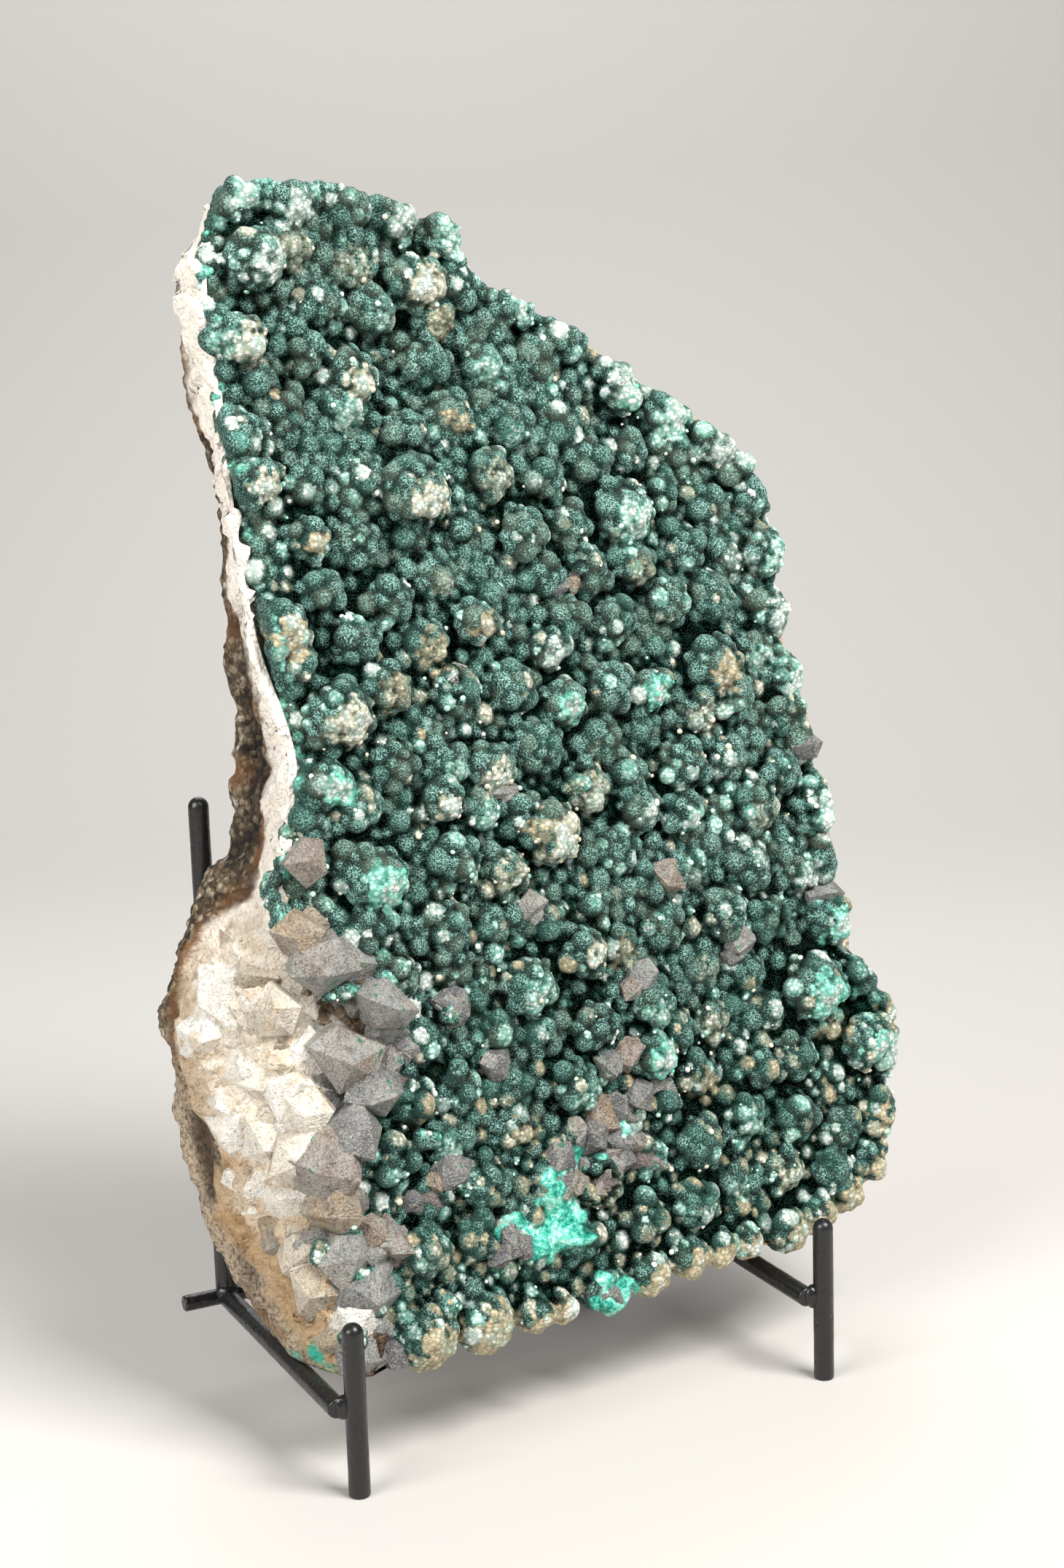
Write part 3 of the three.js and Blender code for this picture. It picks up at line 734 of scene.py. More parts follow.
# Its biggest mounds: x and z of the middle, radius, and the tone of the granules on it.
BIG_MOUNDS = [
    (47, 220, 9.2, "cream"), (105, 211, 8.9, "mint"), (75, 208, 6.7, "plain"), (35, 247, 7.3, "cream"),
    (20, 171, 8.9, "cream"), (15, 156, 6.2, "turquoise"), (81, 167, 6.3, "turquoise"),
    (106, 168, 5.5, "turquoise"), (125, 172, 8.1, "tan"), (148, 168, 5, "mint"), (59, 189, 5.6, "tan"),
    (78, 181, 5.3, "white"), (44, 149, 5.5, "cream"), (99, 139, 5.9, "white"), (111, 137, 5.6, "mint"),
    (72, 137, 8.5, "cream"), (24, 133, 8, "turquoise"), (77, 108, 6.7, "cream"), (143, 89, 9.3, "turquoise"),
    (157, 74, 7.9, "turquoise"), (109, 240, 5.6, "turquoise"), (8, 257, 6.1, "cream"), (8, 225, 6.1, "cream"),
    (19, 211, 5.3, "tan"), (9, 191, 7, "tan"), (55, 269, 7.1, "cream"), (13, 275, 7.6, "white"),
    (93.6, 80.5, 6.5, "turquoise"),
]
# The mounds of its rim, in the same way.
RIM_MOUNDS = [
    (11, 290, 4.8, "mint"), (23, 288, 7, "white"), (37, 288, 7.4, "plain"), (51, 285, 7, "white"),
    (64, 280, 6.2, "mint"), (67, 267, 7, "plain"), (81, 263, 7.2, "mint"), (95, 254, 7.4, "plain"),
    (108, 244, 7.2, "white"), (122, 235, 7.5, "mint"), (136, 226, 7.4, "white"), (145, 213, 7, "plain"),
    (147, 198, 7.2, "mint"), (146, 183, 7, "white"), (148, 166, 6.6, "mint"), (150, 150, 6.8, "plain"),
    (152, 135, 7.4, "mint"), (152, 119, 7, "plain"), (153, 104, 7.6, "turquoise"), (161, 88, 8, "mint"),
    (162, 70, 7.8, "mint"), (159, 53, 8, "tan"), (154, 43, 7, "tan"), (13, 27, 3.4, "turquoise"),
    (13, 33, 3, "turquoise"), (11, 38, 3, "turquoise"),
]
# The lobes that hang over the lower edge, tan underneath.
FOOT_LOBES = [
    (22, 29.5, 8.4, "tan"), (38, 28.5, 8, "tan"), (51.5, 27.5, 5.4, "tan"), (59, 27, 4.2, "tan"),
    (73, 27.5, 6, "turquoise"), (84.5, 29.5, 6, "tan"), (96.5, 31.5, 6, "tan"), (105, 32, 5, "tan"),
    (113, 31.5, 5, "tan"), (127, 31, 6.5, "tan"), (136, 33, 6, "tan"), (145, 37, 6.5, "tan"),
]
# The outline of the crust on the face, from the top left round to the foot and up the left side.
CRUST_EDGE = [
    (9, 293), (32, 293), (49, 289), (68, 282), (74, 269), (90, 261), (111, 246), (128, 236), (140, 227),
    (148, 213), (151, 200), (150, 178), (153, 148), (156, 131), (155, 118), (157, 98), (167, 80),
    (164, 57), (157, 41), (144, 33), (127, 28), (112, 30), (97, 30), (85, 28), (60, 26), (14, 25),
    (11, 38), (9, 55), (13, 77), (26, 93), (21, 114), (3, 122), (0, 134), (7, 152), (9, 165),
    (6.5, 174), (5, 190), (4.5, 205), (3.5, 218), (2, 226), (1, 236), (0, 250), (0, 275), (6, 289),
]
# Where the crust is missing and shows bare rock: middle and half sizes.
BARE_ROCK = [
    (49, 85, 4, 2.2), (42.6, 98.5, 4, 3), (83, 80, 4, 3), (90, 97.5, 4, 2.5), (82, 69, 5.5, 3.5),
    (71, 65.6, 6, 3.5), (65, 60.7, 6, 4), (85, 57.7, 6, 4), (73.5, 54.5, 6, 4), (95.7, 72, 3, 2),
    (28, 60, 4, 3), (49, 43, 4, 3), (16, 49.6, 4, 5), (24, 92, 4, 9), (60, 148, 3, 2), (88, 196, 3, 2),
    (52, 176, 2.5, 1.6), (72.5, 28, 2.4, 2.2), (66, 120, 3, 2), (104, 120, 3, 2), (120, 100, 3, 2),
]
# Chalky turquoise, in a hollow low on the face and on the lobe under it: middle and half sizes.
CHALK = [
    (62, 52, 6, 9), (66, 60, 5, 4), (58, 44, 8, 5), (65, 45, 5, 4), (48, 49, 5, 3), (79, 66, 4, 3),
    (73, 62, 4, 2), (74, 28, 6.5, 4.6), (79, 26.5, 3.5, 2.6),
]

COBBLE_STEP = 14.8
COBBLE_ROW = COBBLE_STEP * math.sqrt(3) / 2
COBBLE_SHIFT = 0.45 * COBBLE_STEP
FIRST_ROW_Z = REST_Z + 6
COBBLE_ROWS = 22
COBBLES_ACROSS = 13


def chance(i, j):
    """A number from 0 to 1 for each pair of whole numbers, the same each time."""
    s = math.sin(i * 12.9898 + j * 78.233) * 43758.5453
    return s - math.floor(s)


def cobble_tops():
    """The mounds of the crust: x and z of the middle, radius, how far the top stands out, and tone.
    They lie on a loose six-sided pattern, where a big mound takes a cobble's place."""
    tops = {}
    for j in range(1, COBBLE_ROWS):
        for i in range(-1, COBBLES_ACROSS):
            x = (i + (j % 2) / 2) * COBBLE_STEP + COBBLE_SHIFT * (chance(i, j) - 0.5)
            z = FIRST_ROW_Z + j * COBBLE_ROW + COBBLE_SHIFT * (chance(j, i + 20) - 0.5)
            wavy_x = x + 2.5 * math.sin(z / 17)
            wavy_z = z + 2.5 * math.sin(x / 15)
            tops[i, j] = (wavy_x, wavy_z, 6.6 + 1.2 * chance(j, i), 1 + 3.4 * chance(i + 40, j), "plain")
    for x, z, r, tone in BIG_MOUNDS:
        j = round((z - FIRST_ROW_Z) / COBBLE_ROW)
        i = round(x / COBBLE_STEP - (j % 2) / 2)
        tops[i, j] = (x, z, r, 0.7 * r + 0.5, tone)
    for number, (x, z, r, tone) in enumerate(RIM_MOUNDS + FOOT_LOBES):
        tops["rim", number] = (x, z, r, 3.2, tone)
    return list(tops.values())


# The front of the crust is worked out as a field: the depth at each place of a fine upright grid.
FIELD_STEP = 0.5
FIELD_X = np.arange(-8, 174, FIELD_STEP)
FIELD_Z = np.arange(REST_Z - 4, 299, FIELD_STEP)


def inside_edge(x, z):
    """How far inside the outline of the crust each point is, in millimetres; negative outside."""
    corners = np.array(CRUST_EDGE, float)
    following = np.roll(corners, -1, axis=0)
    far = np.full(x.shape, 1e9)
    inside = np.zeros(x.shape, bool)
    for (ax, az), (bx, bz) in zip(corners, following):
        run, rise = bx - ax, bz - az
        along = np.clip(((x - ax) * run + (z - az) * rise) / (run**2 + rise**2), 0, 1)
        far = np.minimum(far, np.hypot(x - ax - along * run, z - az - along * rise))
        crosses = (az > z) != (bz > z)
        inside ^= crosses & (x < ax + (z - az) * run / (rise + 1e-12))
    return np.where(inside, far, -far)


def patch_strength(patches, x, z):
    """1 in the middle of these patches and 0 outside them, with ragged edges."""
    ragged = blur_lattice(np.stack([x.ravel(), 0 * x.ravel(), z.ravel()], axis=1), 2.6, 31).reshape(x.shape)
    strength = np.zeros(x.shape)
    for px, pz, rx, rz in patches:
        far = np.hypot((x - px) / rx, (z - pz) / rz) + 0.9 * (ragged - 0.5)
        strength = np.maximum(strength, smoothstep(1.15, 0.8, far))
    return strength


def press_ball(field, centre, radius):
    """Lets a ball stand out of the field of front depths."""
    x, y, z = centre
    i0, i1 = np.searchsorted(FIELD_X, (x - radius, x + radius))
    j0, j1 = np.searchsorted(FIELD_Z, (z - radius, z + radius))
    gap = radius**2 - (FIELD_X[i0:i1][None, :] - x) ** 2 - (FIELD_Z[j0:j1][:, None] - z) ** 2
    front = np.where(gap > 0, y - np.sqrt(np.maximum(gap, 0)), 1e9)
    field[j0:j1, i0:i1] = np.minimum(field[j0:j1, i0:i1], front)


def field_normals(field):
    """Unit vectors out of the field, towards the front."""
    along_z, along_x = np.gradient(field, FIELD_STEP)
    normal = np.stack([along_x, -np.ones(field.shape), along_z], axis=2)
    return normal / np.linalg.norm(normal, axis=2, keepdims=True)


def read_field(field, points):
    """The field's values at these points, smoothly between its places."""
    u = np.clip((points[:, 0] - FIELD_X[0]) / FIELD_STEP, 0, len(FIELD_X) - 1.001)
    v = np.clip((points[:, 2] - FIELD_Z[0]) / FIELD_STEP, 0, len(FIELD_Z) - 1.001)
    i, j = u.astype(int), v.astype(int)
    fu, fv = u - i, v - j
    low = field[j, i] * (1 - fu) + field[j, i + 1] * fu
    high = field[j + 1, i] * (1 - fu) + field[j + 1, i + 1] * fu
    return low * (1 - fv) + high * fv


def softened(field, reach):
    """The field blurred over a few places each way."""
    weights = np.exp(-np.linspace(-2, 2, 2 * reach + 1) ** 2)
    weights /= weights.sum()
    padded = np.pad(field, reach, mode="edge")
    across = sum(w * padded[:, k : k + field.shape[1]] for k, w in enumerate(weights))
    return sum(w * across[k : k + field.shape[0]] for k, w in enumerate(weights))


# Beads to try of each kind: how many, the smallest radius, and how much bigger they may be.
BEAD_KINDS = [(1100, 2.5, 1.1), (7000, 1.7, 0.9), (40000, 0.95, 0.75)]
BEAD_CLOSENESS = 0.76


def pack_beads(field, allowed, sizes, dice):
    """Beads strewn over the field, the biggest first, so that neighbours just overlap. Each has its
    middle on the surface, the way out of it and its radius."""
    normals = field_normals(field)
    rows, columns = np.nonzero(allowed)
    pick = dice.integers(0, len(rows), len(sizes))
    cell_size = 2 * BEAD_CLOSENESS * sizes[0]
    cells = {}
    kept = []
    for row, column, radius in zip(rows[pick], columns[pick], sizes):
        place = (FIELD_X[column], field[row, column], FIELD_Z[row])
        key = tuple(int(v // cell_size) for v in place)
        near = (
            other
            for dx in (-1, 0, 1)
            for dy in (-1, 0, 1)
            for dz in (-1, 0, 1)
            for other in cells.get((key[0] + dx, key[1] + dy, key[2] + dz), ())
        )
        if all(math.dist(place, spot) > BEAD_CLOSENESS * (radius + size) for spot, size in near):
            cells.setdefault(key, []).append((place, radius))
            kept.append((*place, *normals[row, column], radius))
    return np.array(kept)


# How deep the crust lies behind the plane of the face between its mounds, and in its bare patches, and
# how wide its edge rolls back.
CRUST_GROUND = 3.6
BARE_GROUND = 1.0
EDGE_ROLL = 5.0


def crust_field(mounds, inside):
    """The field of front depths under the beads, and where the crust is bare."""
    x, z = np.meshgrid(FIELD_X, FIELD_Z)
    rolled = 1 - np.clip(inside, 0, EDGE_ROLL) / EDGE_ROLL
    drop = EDGE_ROLL * (1 - np.sqrt(np.clip(1 - rolled**2, 0, 1)))
    bare = np.maximum(patch_strength(BARE_ROCK, x, z), patch_strength(CHALK, x, z))
    field = face_y(x, z) + CRUST_GROUND + drop
    for mx, mz, radius, proud, tone in mounds:
        set_back = 2.5 if tone == "plain" else 1.8
        press_ball(field, (mx, face_y(mx, mz) - proud + set_back + radius, mz), radius)
    field = np.where(bare > 0.5, np.maximum(field, face_y(x, z) + BARE_GROUND), field)
    return np.minimum(field, softened(field, 3) + 0.4), bare


def grow_crust(dice):
    """The field of front depths under the beads, how far inside the crust each place is, the beads,
    and the mounds that they grow on."""
    x, z = np.meshgrid(FIELD_X, FIELD_Z)
    inside = inside_edge(x, z)
    for mx, mz, radius, _ in FOOT_LOBES:
        inside = np.maximum(inside, radius - np.hypot(x - mx, z - mz))
    mounds = [m for m in cobble_tops() if read_field(inside, np.array([[m[0], 0, m[1]]]))[0] > 2]
    field, bare = crust_field(mounds, inside)
    sizes = np.concatenate([least + more * dice.random(count) for count, least, more in BEAD_KINDS])
    beads = pack_beads(field, (inside > 0.8) & (bare < 0.4), np.sort(sizes)[::-1], dice)
    # Each bead is sunk by a share of its radius, more at the foot and on mounds that are smooth by chance.
    foot = smoothstep(REST_Z + 15, REST_Z + 8, beads[:, 2])
    smooth = foot.copy()
    for number, (mx, mz, radius, *_) in enumerate(mounds):
        near = smoothstep(radius, 0.6 * radius, np.hypot(beads[:, 0] - mx, beads[:, 2] - mz))
        smooth = np.maximum(smooth, near * chance(number, 21))
    sunk = 0.24 + (0.4 - 0.3 * foot) * dice.random(len(beads)) + 0.28 * smooth + 0.14 * foot
    beads[:, :3] -= beads[:, 3:6] * (sunk * beads[:, 6])[:, None]
    return field, inside, beads, mounds


def ball_mesh(balls, subdivisions):
    """Points and triangles of all these balls: middle and radius of each."""
    unit, triangles = unit_ball(subdivisions)
    points = balls[:, None, :3] + balls[:, None, 3:4] * unit[None]
    faces = np.array(triangles)[None] + (np.arange(len(balls)) * len(unit))[:, None, None]
    return points.reshape(-1, 3), faces.reshape(-1, 3)


# The sheet's mesh uses every second place of the field, and its back is this far behind the face. A
# band of it dives this far past its own stretch of height.
SHEET_STRIDE = 2
SHEET_BACK = 8
SHEET_DIVE = 5.0


def sheet_mesh(field, inside, z_low, z_high):
    """The crust itself as a closed sheet: its front, a plain back inside the stone, and its edges.
    Past its own stretch of height it dives under the next one's."""
    front = field[::SHEET_STRIDE, ::SHEET_STRIDE].copy()
    z = FIELD_Z[::SHEET_STRIDE]
    x = FIELD_X[::SHEET_STRIDE]
    past = np.maximum(np.maximum(z_low - z, z - z_high), 0)
    front += 0.5 * past[:, None]
    used = (inside[::SHEET_STRIDE, ::SHEET_STRIDE] > 0) & (past < SHEET_DIVE)[:, None]
    grid_x, grid_z = np.meshgrid(x, z)
    back = np.maximum(face_y(grid_x, grid_z) + SHEET_BACK, front + 1)
    count = front.size
    points = np.stack([grid_x.ravel(), front.ravel(), grid_z.ravel()], axis=1)
    behind = np.stack([grid_x.ravel(), back.ravel(), grid_z.ravel()], axis=1)
    cell = used[:-1, :-1] & used[1:, :-1] & used[:-1, 1:] & used[1:, 1:]
    rows, columns = np.nonzero(cell)
    wide = len(x)
    a = rows * wide + columns
    quads = np.stack([a, a + 1, a + 1 + wide, a + wide], axis=1)
    faces = [quads[:, [0, 1, 2]], quads[:, [0, 2, 3]]]
    faces += [count + quads[:, [0, 2, 1]], count + quads[:, [0, 3, 2]]]
    padded = np.pad(cell, 1)
    for down, right, (p, q) in ((-1, 0, (0, 1)), (0, 1, (1, 2)), (1, 0, (2, 3)), (0, -1, (3, 0))):
        open_side = ~padded[1 + rows + down, 1 + columns + right]
        start, end = quads[open_side, p], quads[open_side, q]
        faces.append(np.stack([start, count + start, end], axis=1))
        faces.append(np.stack([end, count + start, count + end], axis=1))
    return np.concatenate([points, behind]), np.concatenate(faces)


def points_of(mesh):
    """The mesh's points in the stand's millimetres."""
    flat = np.empty(3 * len(mesh.vertices), np.float32)
    mesh.vertices.foreach_get("co", flat)
    return (flat.reshape(-1, 3) - STAND) / MM


def set_points(mesh, points):
    """Moves the mesh's points to these places in the stand's millimetres."""
    mesh.vertices.foreach_set("co", (points * MM + STAND).astype(np.float32).ravel())


def triangle_mesh(name, points, faces):
    """A mesh of triangles with its points in the stand's millimetres."""
    mesh = bpy.data.meshes.new(name)
    mesh.vertices.add(len(points))
    set_points(mesh, points)
    mesh.loops.add(faces.size)
    mesh.loops.foreach_set("vertex_index", faces.astype(np.int32).ravel())
    mesh.polygons.add(len(faces))
    mesh.polygons.foreach_set("loop_start", np.arange(0, faces.size, 3, dtype=np.int32))
    mesh.update(calc_edges=True)
    mesh.shade_smooth()
    return mesh


def applied(piece):
    """Turns the piece's modifiers into its mesh."""
    graph = bpy.context.evaluated_depsgraph_get()
    result = bpy.data.meshes.new_from_object(piece.evaluated_get(graph))
    old = piece.data
    piece.modifiers.clear()
    piece.data = result
    bpy.data.meshes.remove(old)
    result.name = piece.name


# Points that lie this far behind the face are hidden in the stone, and most of them are left out.
HIDDEN_DEPTH = 6.5
HIDDEN_LEFT_OUT = 0.92


def remeshed(name, parts, voxel):
    """One skin around all these overlapping closed meshes, with few faces on its hidden back."""
    offsets = np.cumsum([0] + [len(points) for points, _ in parts[:-1]])
    points = np.concatenate([points for points, _ in parts])
    faces = np.concatenate([faces + offset for (_, faces), offset in zip(parts, offsets)])
    piece = bpy.data.objects.new(name, triangle_mesh(name, points, faces))
    bpy.context.scene.collection.objects.link(piece)
    skin = piece.modifiers.new("skin", "REMESH")
    skin.mode = "VOXEL"
    skin.voxel_size = voxel * MM
    skin.use_smooth_shade = True
    applied(piece)
    points = points_of(piece.data)
    behind = points[:, 1] - face_y(points[:, 0], points[:, 2]) > HIDDEN_DEPTH
    hidden = np.nonzero(behind & (inside_edge(points[:, 0], points[:, 2]) > 0.5))[0]
    group = piece.vertex_groups.new(name="hidden_back")
    group.add(hidden.tolist(), 1.0, "REPLACE")
    fewer = piece.modifiers.new("fewer", "DECIMATE")
    fewer.vertex_group = "hidden_back"
    fewer.ratio = 1 - HIDDEN_LEFT_OUT * len(hidden) / len(points)
    applied(piece)
    piece.vertex_groups.clear()
    return piece


def roughened(mesh, chalk):
    """Gives the skin its small lumps, more where it is chalky, and trims it flat over the two arms of
    the stand. Returns its points in the stand's millimetres."""
    points = points_of(mesh)
    normals = np.empty(3 * len(points), np.float32)
    mesh.vertex_normals.foreach_get("vector", normals)
    small = blur_lattice(points, 1.7, 41) - 0.5
    crumbs = 2.0 * (blur_lattice(points, 2.4, 45) - 0.3) + 2.6 * (blur_lattice(points, 6, 47) - 0.4)
    crumbs *= read_field(chalk, points)
    lumps = 0.35 * small + 0.5 * (blur_lattice(points, 3.6, 43) - 0.5) + crumbs
    points = points + normals.reshape(-1, 3) * lumps[:, None]
    from_left_arm = abs(points[:, 0] - ARM_OFFSET)
    from_right_arm = abs(points[:, 0] - PEG_SPACING - ARM_OFFSET)
    hangs = 3.0 * smoothstep(ARM_ROD, 2 * ARM_ROD, np.minimum(from_left_arm, from_right_arm))
    points[:, 2] = np.maximum(points[:, 2], REST_Z - hangs)
    set_points(mesh, points)
    mesh.update()
    return points


# Small lumps of malachite between the crystals beside the crust: height, place around the stone, and
# half width.
CLUMPS = [
    (133, 11.5, 4), (126, 11.8, 3.4), (117, 11.75, 2.6), (108, 11.7, 2.6), (104, 11.1, 2.4), (94, 11.6, 2.4),
    (84, 11.85, 3), (76, 11.5, 2.4), (66, 11.6, 3), (57, 11.8, 3), (52, 11.3, 2.2), (45, 11.7, 2.8),
    (38, 11.8, 3.2), (33, 11.5, 2.6),
    (100, 0.5, 2.6), (88, 0.6, 2.4), (72, 0.5, 2.6), (60, 0.7, 2.6), (48, 0.4, 2.8), (36, 0.5, 3),
]


def clump_beads(dice):
    """The beads of the small lumps, which stand on the crystals beside the crust."""
    found = []
    for z, ring, half_width in CLUMPS:
        around = np.abs((rock_ring - ring + 6) % RING_END - 6)
        at = np.argmin(np.abs(rock_points[:, 2] - z) + 12 * around)
        middle, way = rock_points[at], rock_outward[at]
        for _ in range(int(5 * half_width)):
            step = dice.normal(0, 0.45 * half_width, 3)
            step -= way * (step @ way)
            radius = 0.9 + 1.0 * dice.random()
            found.append((*(middle + step + way * (3.2 - 0.35 * np.linalg.norm(step))), *way, radius))
    return np.array(found)


# The tones of the granules that cover the tips of beads and the tops of mounds. Of the plain mounds, a
# share gets a thinner cap, in one of the tones for plain mounds.
TONES = ("cream", "white", "mint", "turquoise", "tan")
PLAIN_TONES = ("white", "mint", "cream", "tan", "mint", "cream")
PLAIN_SHARE = 0.3
# Parts of the crust where few tips are pale: x, z and half width and height of each.
PLAIN_PARTS = [(65, 249, 20, 20), (47, 203, 15, 15), (91, 220, 13, 14), (96, 158, 16, 9), (62, 160, 11, 11)]


def caps_at(points, mounds):
    """How thickly each tone of granules covers the mounds at these points."""
    x, z = points[:, 0], points[:, 2]
    ragged = blur_lattice(points, 1.9, 51) - 0.5
    caps = {tone: np.zeros(len(points)) for tone in TONES}
    for number, (mx, mz, radius, _, tone) in enumerate(mounds):
        strength = 0.95 if tone == "white" else 1.25
        if tone == "plain":
            luck = chance(number, 77)
            if luck > PLAIN_SHARE:
                continue
            tone = PLAIN_TONES[int(luck * len(PLAIN_TONES) / PLAIN_SHARE)]
            strength = 0.4 + 0.5 * chance(number, 5)
        size = radius * (0.7 + 0.35 * chance(number, 9))
        here = (abs(x - mx) < 2 * radius) & (abs(z - mz) < 2 * radius)
        far = np.hypot(x[here] - mx - 0.25 * radius, z[here] - mz + 0.15 * radius)
        far += 0.9 * radius * ragged[here]
        caps[tone][here] = np.maximum(caps[tone][here], strength * smoothstep(size, 0.4 * size, far))
        core = smoothstep(0.5 * size, 0.2 * size, far)
        inner = "cream" if tone == "tan" else "white"
        caps[inner][here] = np.maximum(caps[inner][here], 0.8 * strength * core)
    return caps


def tip_spots(beads, inside, dice):
    """For each bead, how thickly each tone of granules covers its own tip."""
    x, z = beads[:, 0], beads[:, 2]
    from_edge = read_field(inside, beads[:, :3])
    rim = smoothstep(16, 5, from_edge)
    low = smoothstep(105, 45, z)
    left_fringe = smoothstep(4.5, 1.5, from_edge) * (x < 30) * (z > 80)
    luck = dice.random(len(beads))
    thick = dice.random(len(beads))
    shares = (
        ("white", 0.0, 0.1 + 0.1 * rim, 0.6 + 0.6 * thick),
        ("mint", 0.2, 0.12 + 0.07 * rim, 0.5 + 0.6 * thick),
        ("cream", 0.4, 0.06 + 0.08 * low, 0.45 + 0.6 * thick),
        ("tan", 0.6, 0.02 + 0.22 * low, 0.4 + 0.5 * thick),
    )
    spots = {}
    for tone, start, share, strength in shares:
        spots[tone] = strength * ((luck >= start) & (luck < start + share))
    spots["turquoise"] = left_fringe * (0.35 + 0.5 * luck)
    plain = patch_strength(PLAIN_PARTS, x, z) * (thick < 0.8)
    return {tone: spots[tone] * (1 - 0.85 * plain) for tone in TONES}


def nearest_beads(points, beads):
    """For each point, the bead whose surface is nearest."""
    tree = kdtree.KDTree(len(beads))
    for number, bead in enumerate(beads):
        tree.insert(bead[:3], number)
    tree.balance()
    chosen = np.empty(len(points), int)
    for row, point in enumerate(points):
        found = tree.find_n(point, 3)
        chosen[row] = min(found, key=lambda item: item[2] - beads[item[1], 6])[1]
    return chosen


def place_on_bead(points, own):
    """Where each point is on its own bead: how surely it is on one, how far out it is, how much painted
    light its tip and upper right side get, and how surely it is on the side of the tip that is lit, to the
    upper right."""
    from_middle = points - own[:, :3]
    gap = np.linalg.norm(from_middle, axis=1) - own[:, 6]
    on_bead = smoothstep(0.9, 0.3, gap)
    outward = (from_middle * own[:, 3:6]).sum(axis=1) / own[:, 6]
    # The lit side faces the upper right, where the key lamp is.
    lit_way = own[:, 3:6] + (0.45, 0.0, 0.1)
    lit_way /= np.linalg.norm(lit_way, axis=1, keepdims=True)
    lit_side = (from_middle * lit_way).sum(axis=1) / own[:, 6]
    tip = 0.5 * smoothstep(0.0, 0.85, outward) * on_bead + 0.5 * smoothstep(0.1, 0.95, lit_side) * on_bead
    lit_tip = smoothstep(0.35, 0.95, lit_side) * on_bead
    return on_bead, outward, tip, lit_tip


def granule_paint(points, own_spots, caps, tip, lit_tip):
    """How thickly each tone of granules covers these points: on the lit upper right side of the tips of
    single beads, partly as painted highlight, on the tops of the mounds, and under the lobes of the foot."""
    paint = {}
    # Spots go on the lit side of each tip and caps are thicker where the painted light is: partly painted
    # highlight.
    for tone, amount in own_spots.items():
        paint[tone] = np.maximum(amount * lit_tip, caps[tone] * (0.6 + 0.4 * tip))
    ragged = 0.9 * (blur_lattice(points, 2.6, 8) - 0.5)
    for mx, mz, radius, tone in FOOT_LOBES:
        across, down = (points[:, 0] - mx) / radius, (mz - points[:, 2]) / radius
        under = smoothstep(-0.1, 0.5, down + 0.4 * across + ragged)
        under *= smoothstep(1.3, 1.1, np.hypot(across, down))
        paint[tone] = np.maximum(paint[tone], 0.95 * under)
    return paint


def velvet_shade(points, depth, mound_depth, outward, tip):
    """How dark the painted shade is in the gaps between the beads and between the mounds and under the beads,
    and how light the painted light makes the tips and their upper right sides.
    """
    lower = smoothstep(150, 80, points[:, 2])
    within = smoothstep(0.5, 4, inside_edge(points[:, 0], points[:, 2]))
    on_front = within * smoothstep(9, 5, points[:, 1] - face_y(points[:, 0], points[:, 2]))
    gap_shade = 0.8 * smoothstep(-0.4, 1.5, depth) + 0.6 * smoothstep(0.0, 3.0, mound_depth)
    under_bead_shade = 0.65 * smoothstep(0.5, -0.2, outward)
    painted_shade = np.clip((gap_shade + under_bead_shade) * (1 + 0.4 * lower), 0, 1) * on_front
    return painted_shade, np.maximum(tip * (1 - 0.14 * lower), 0.6 * (1 - within))


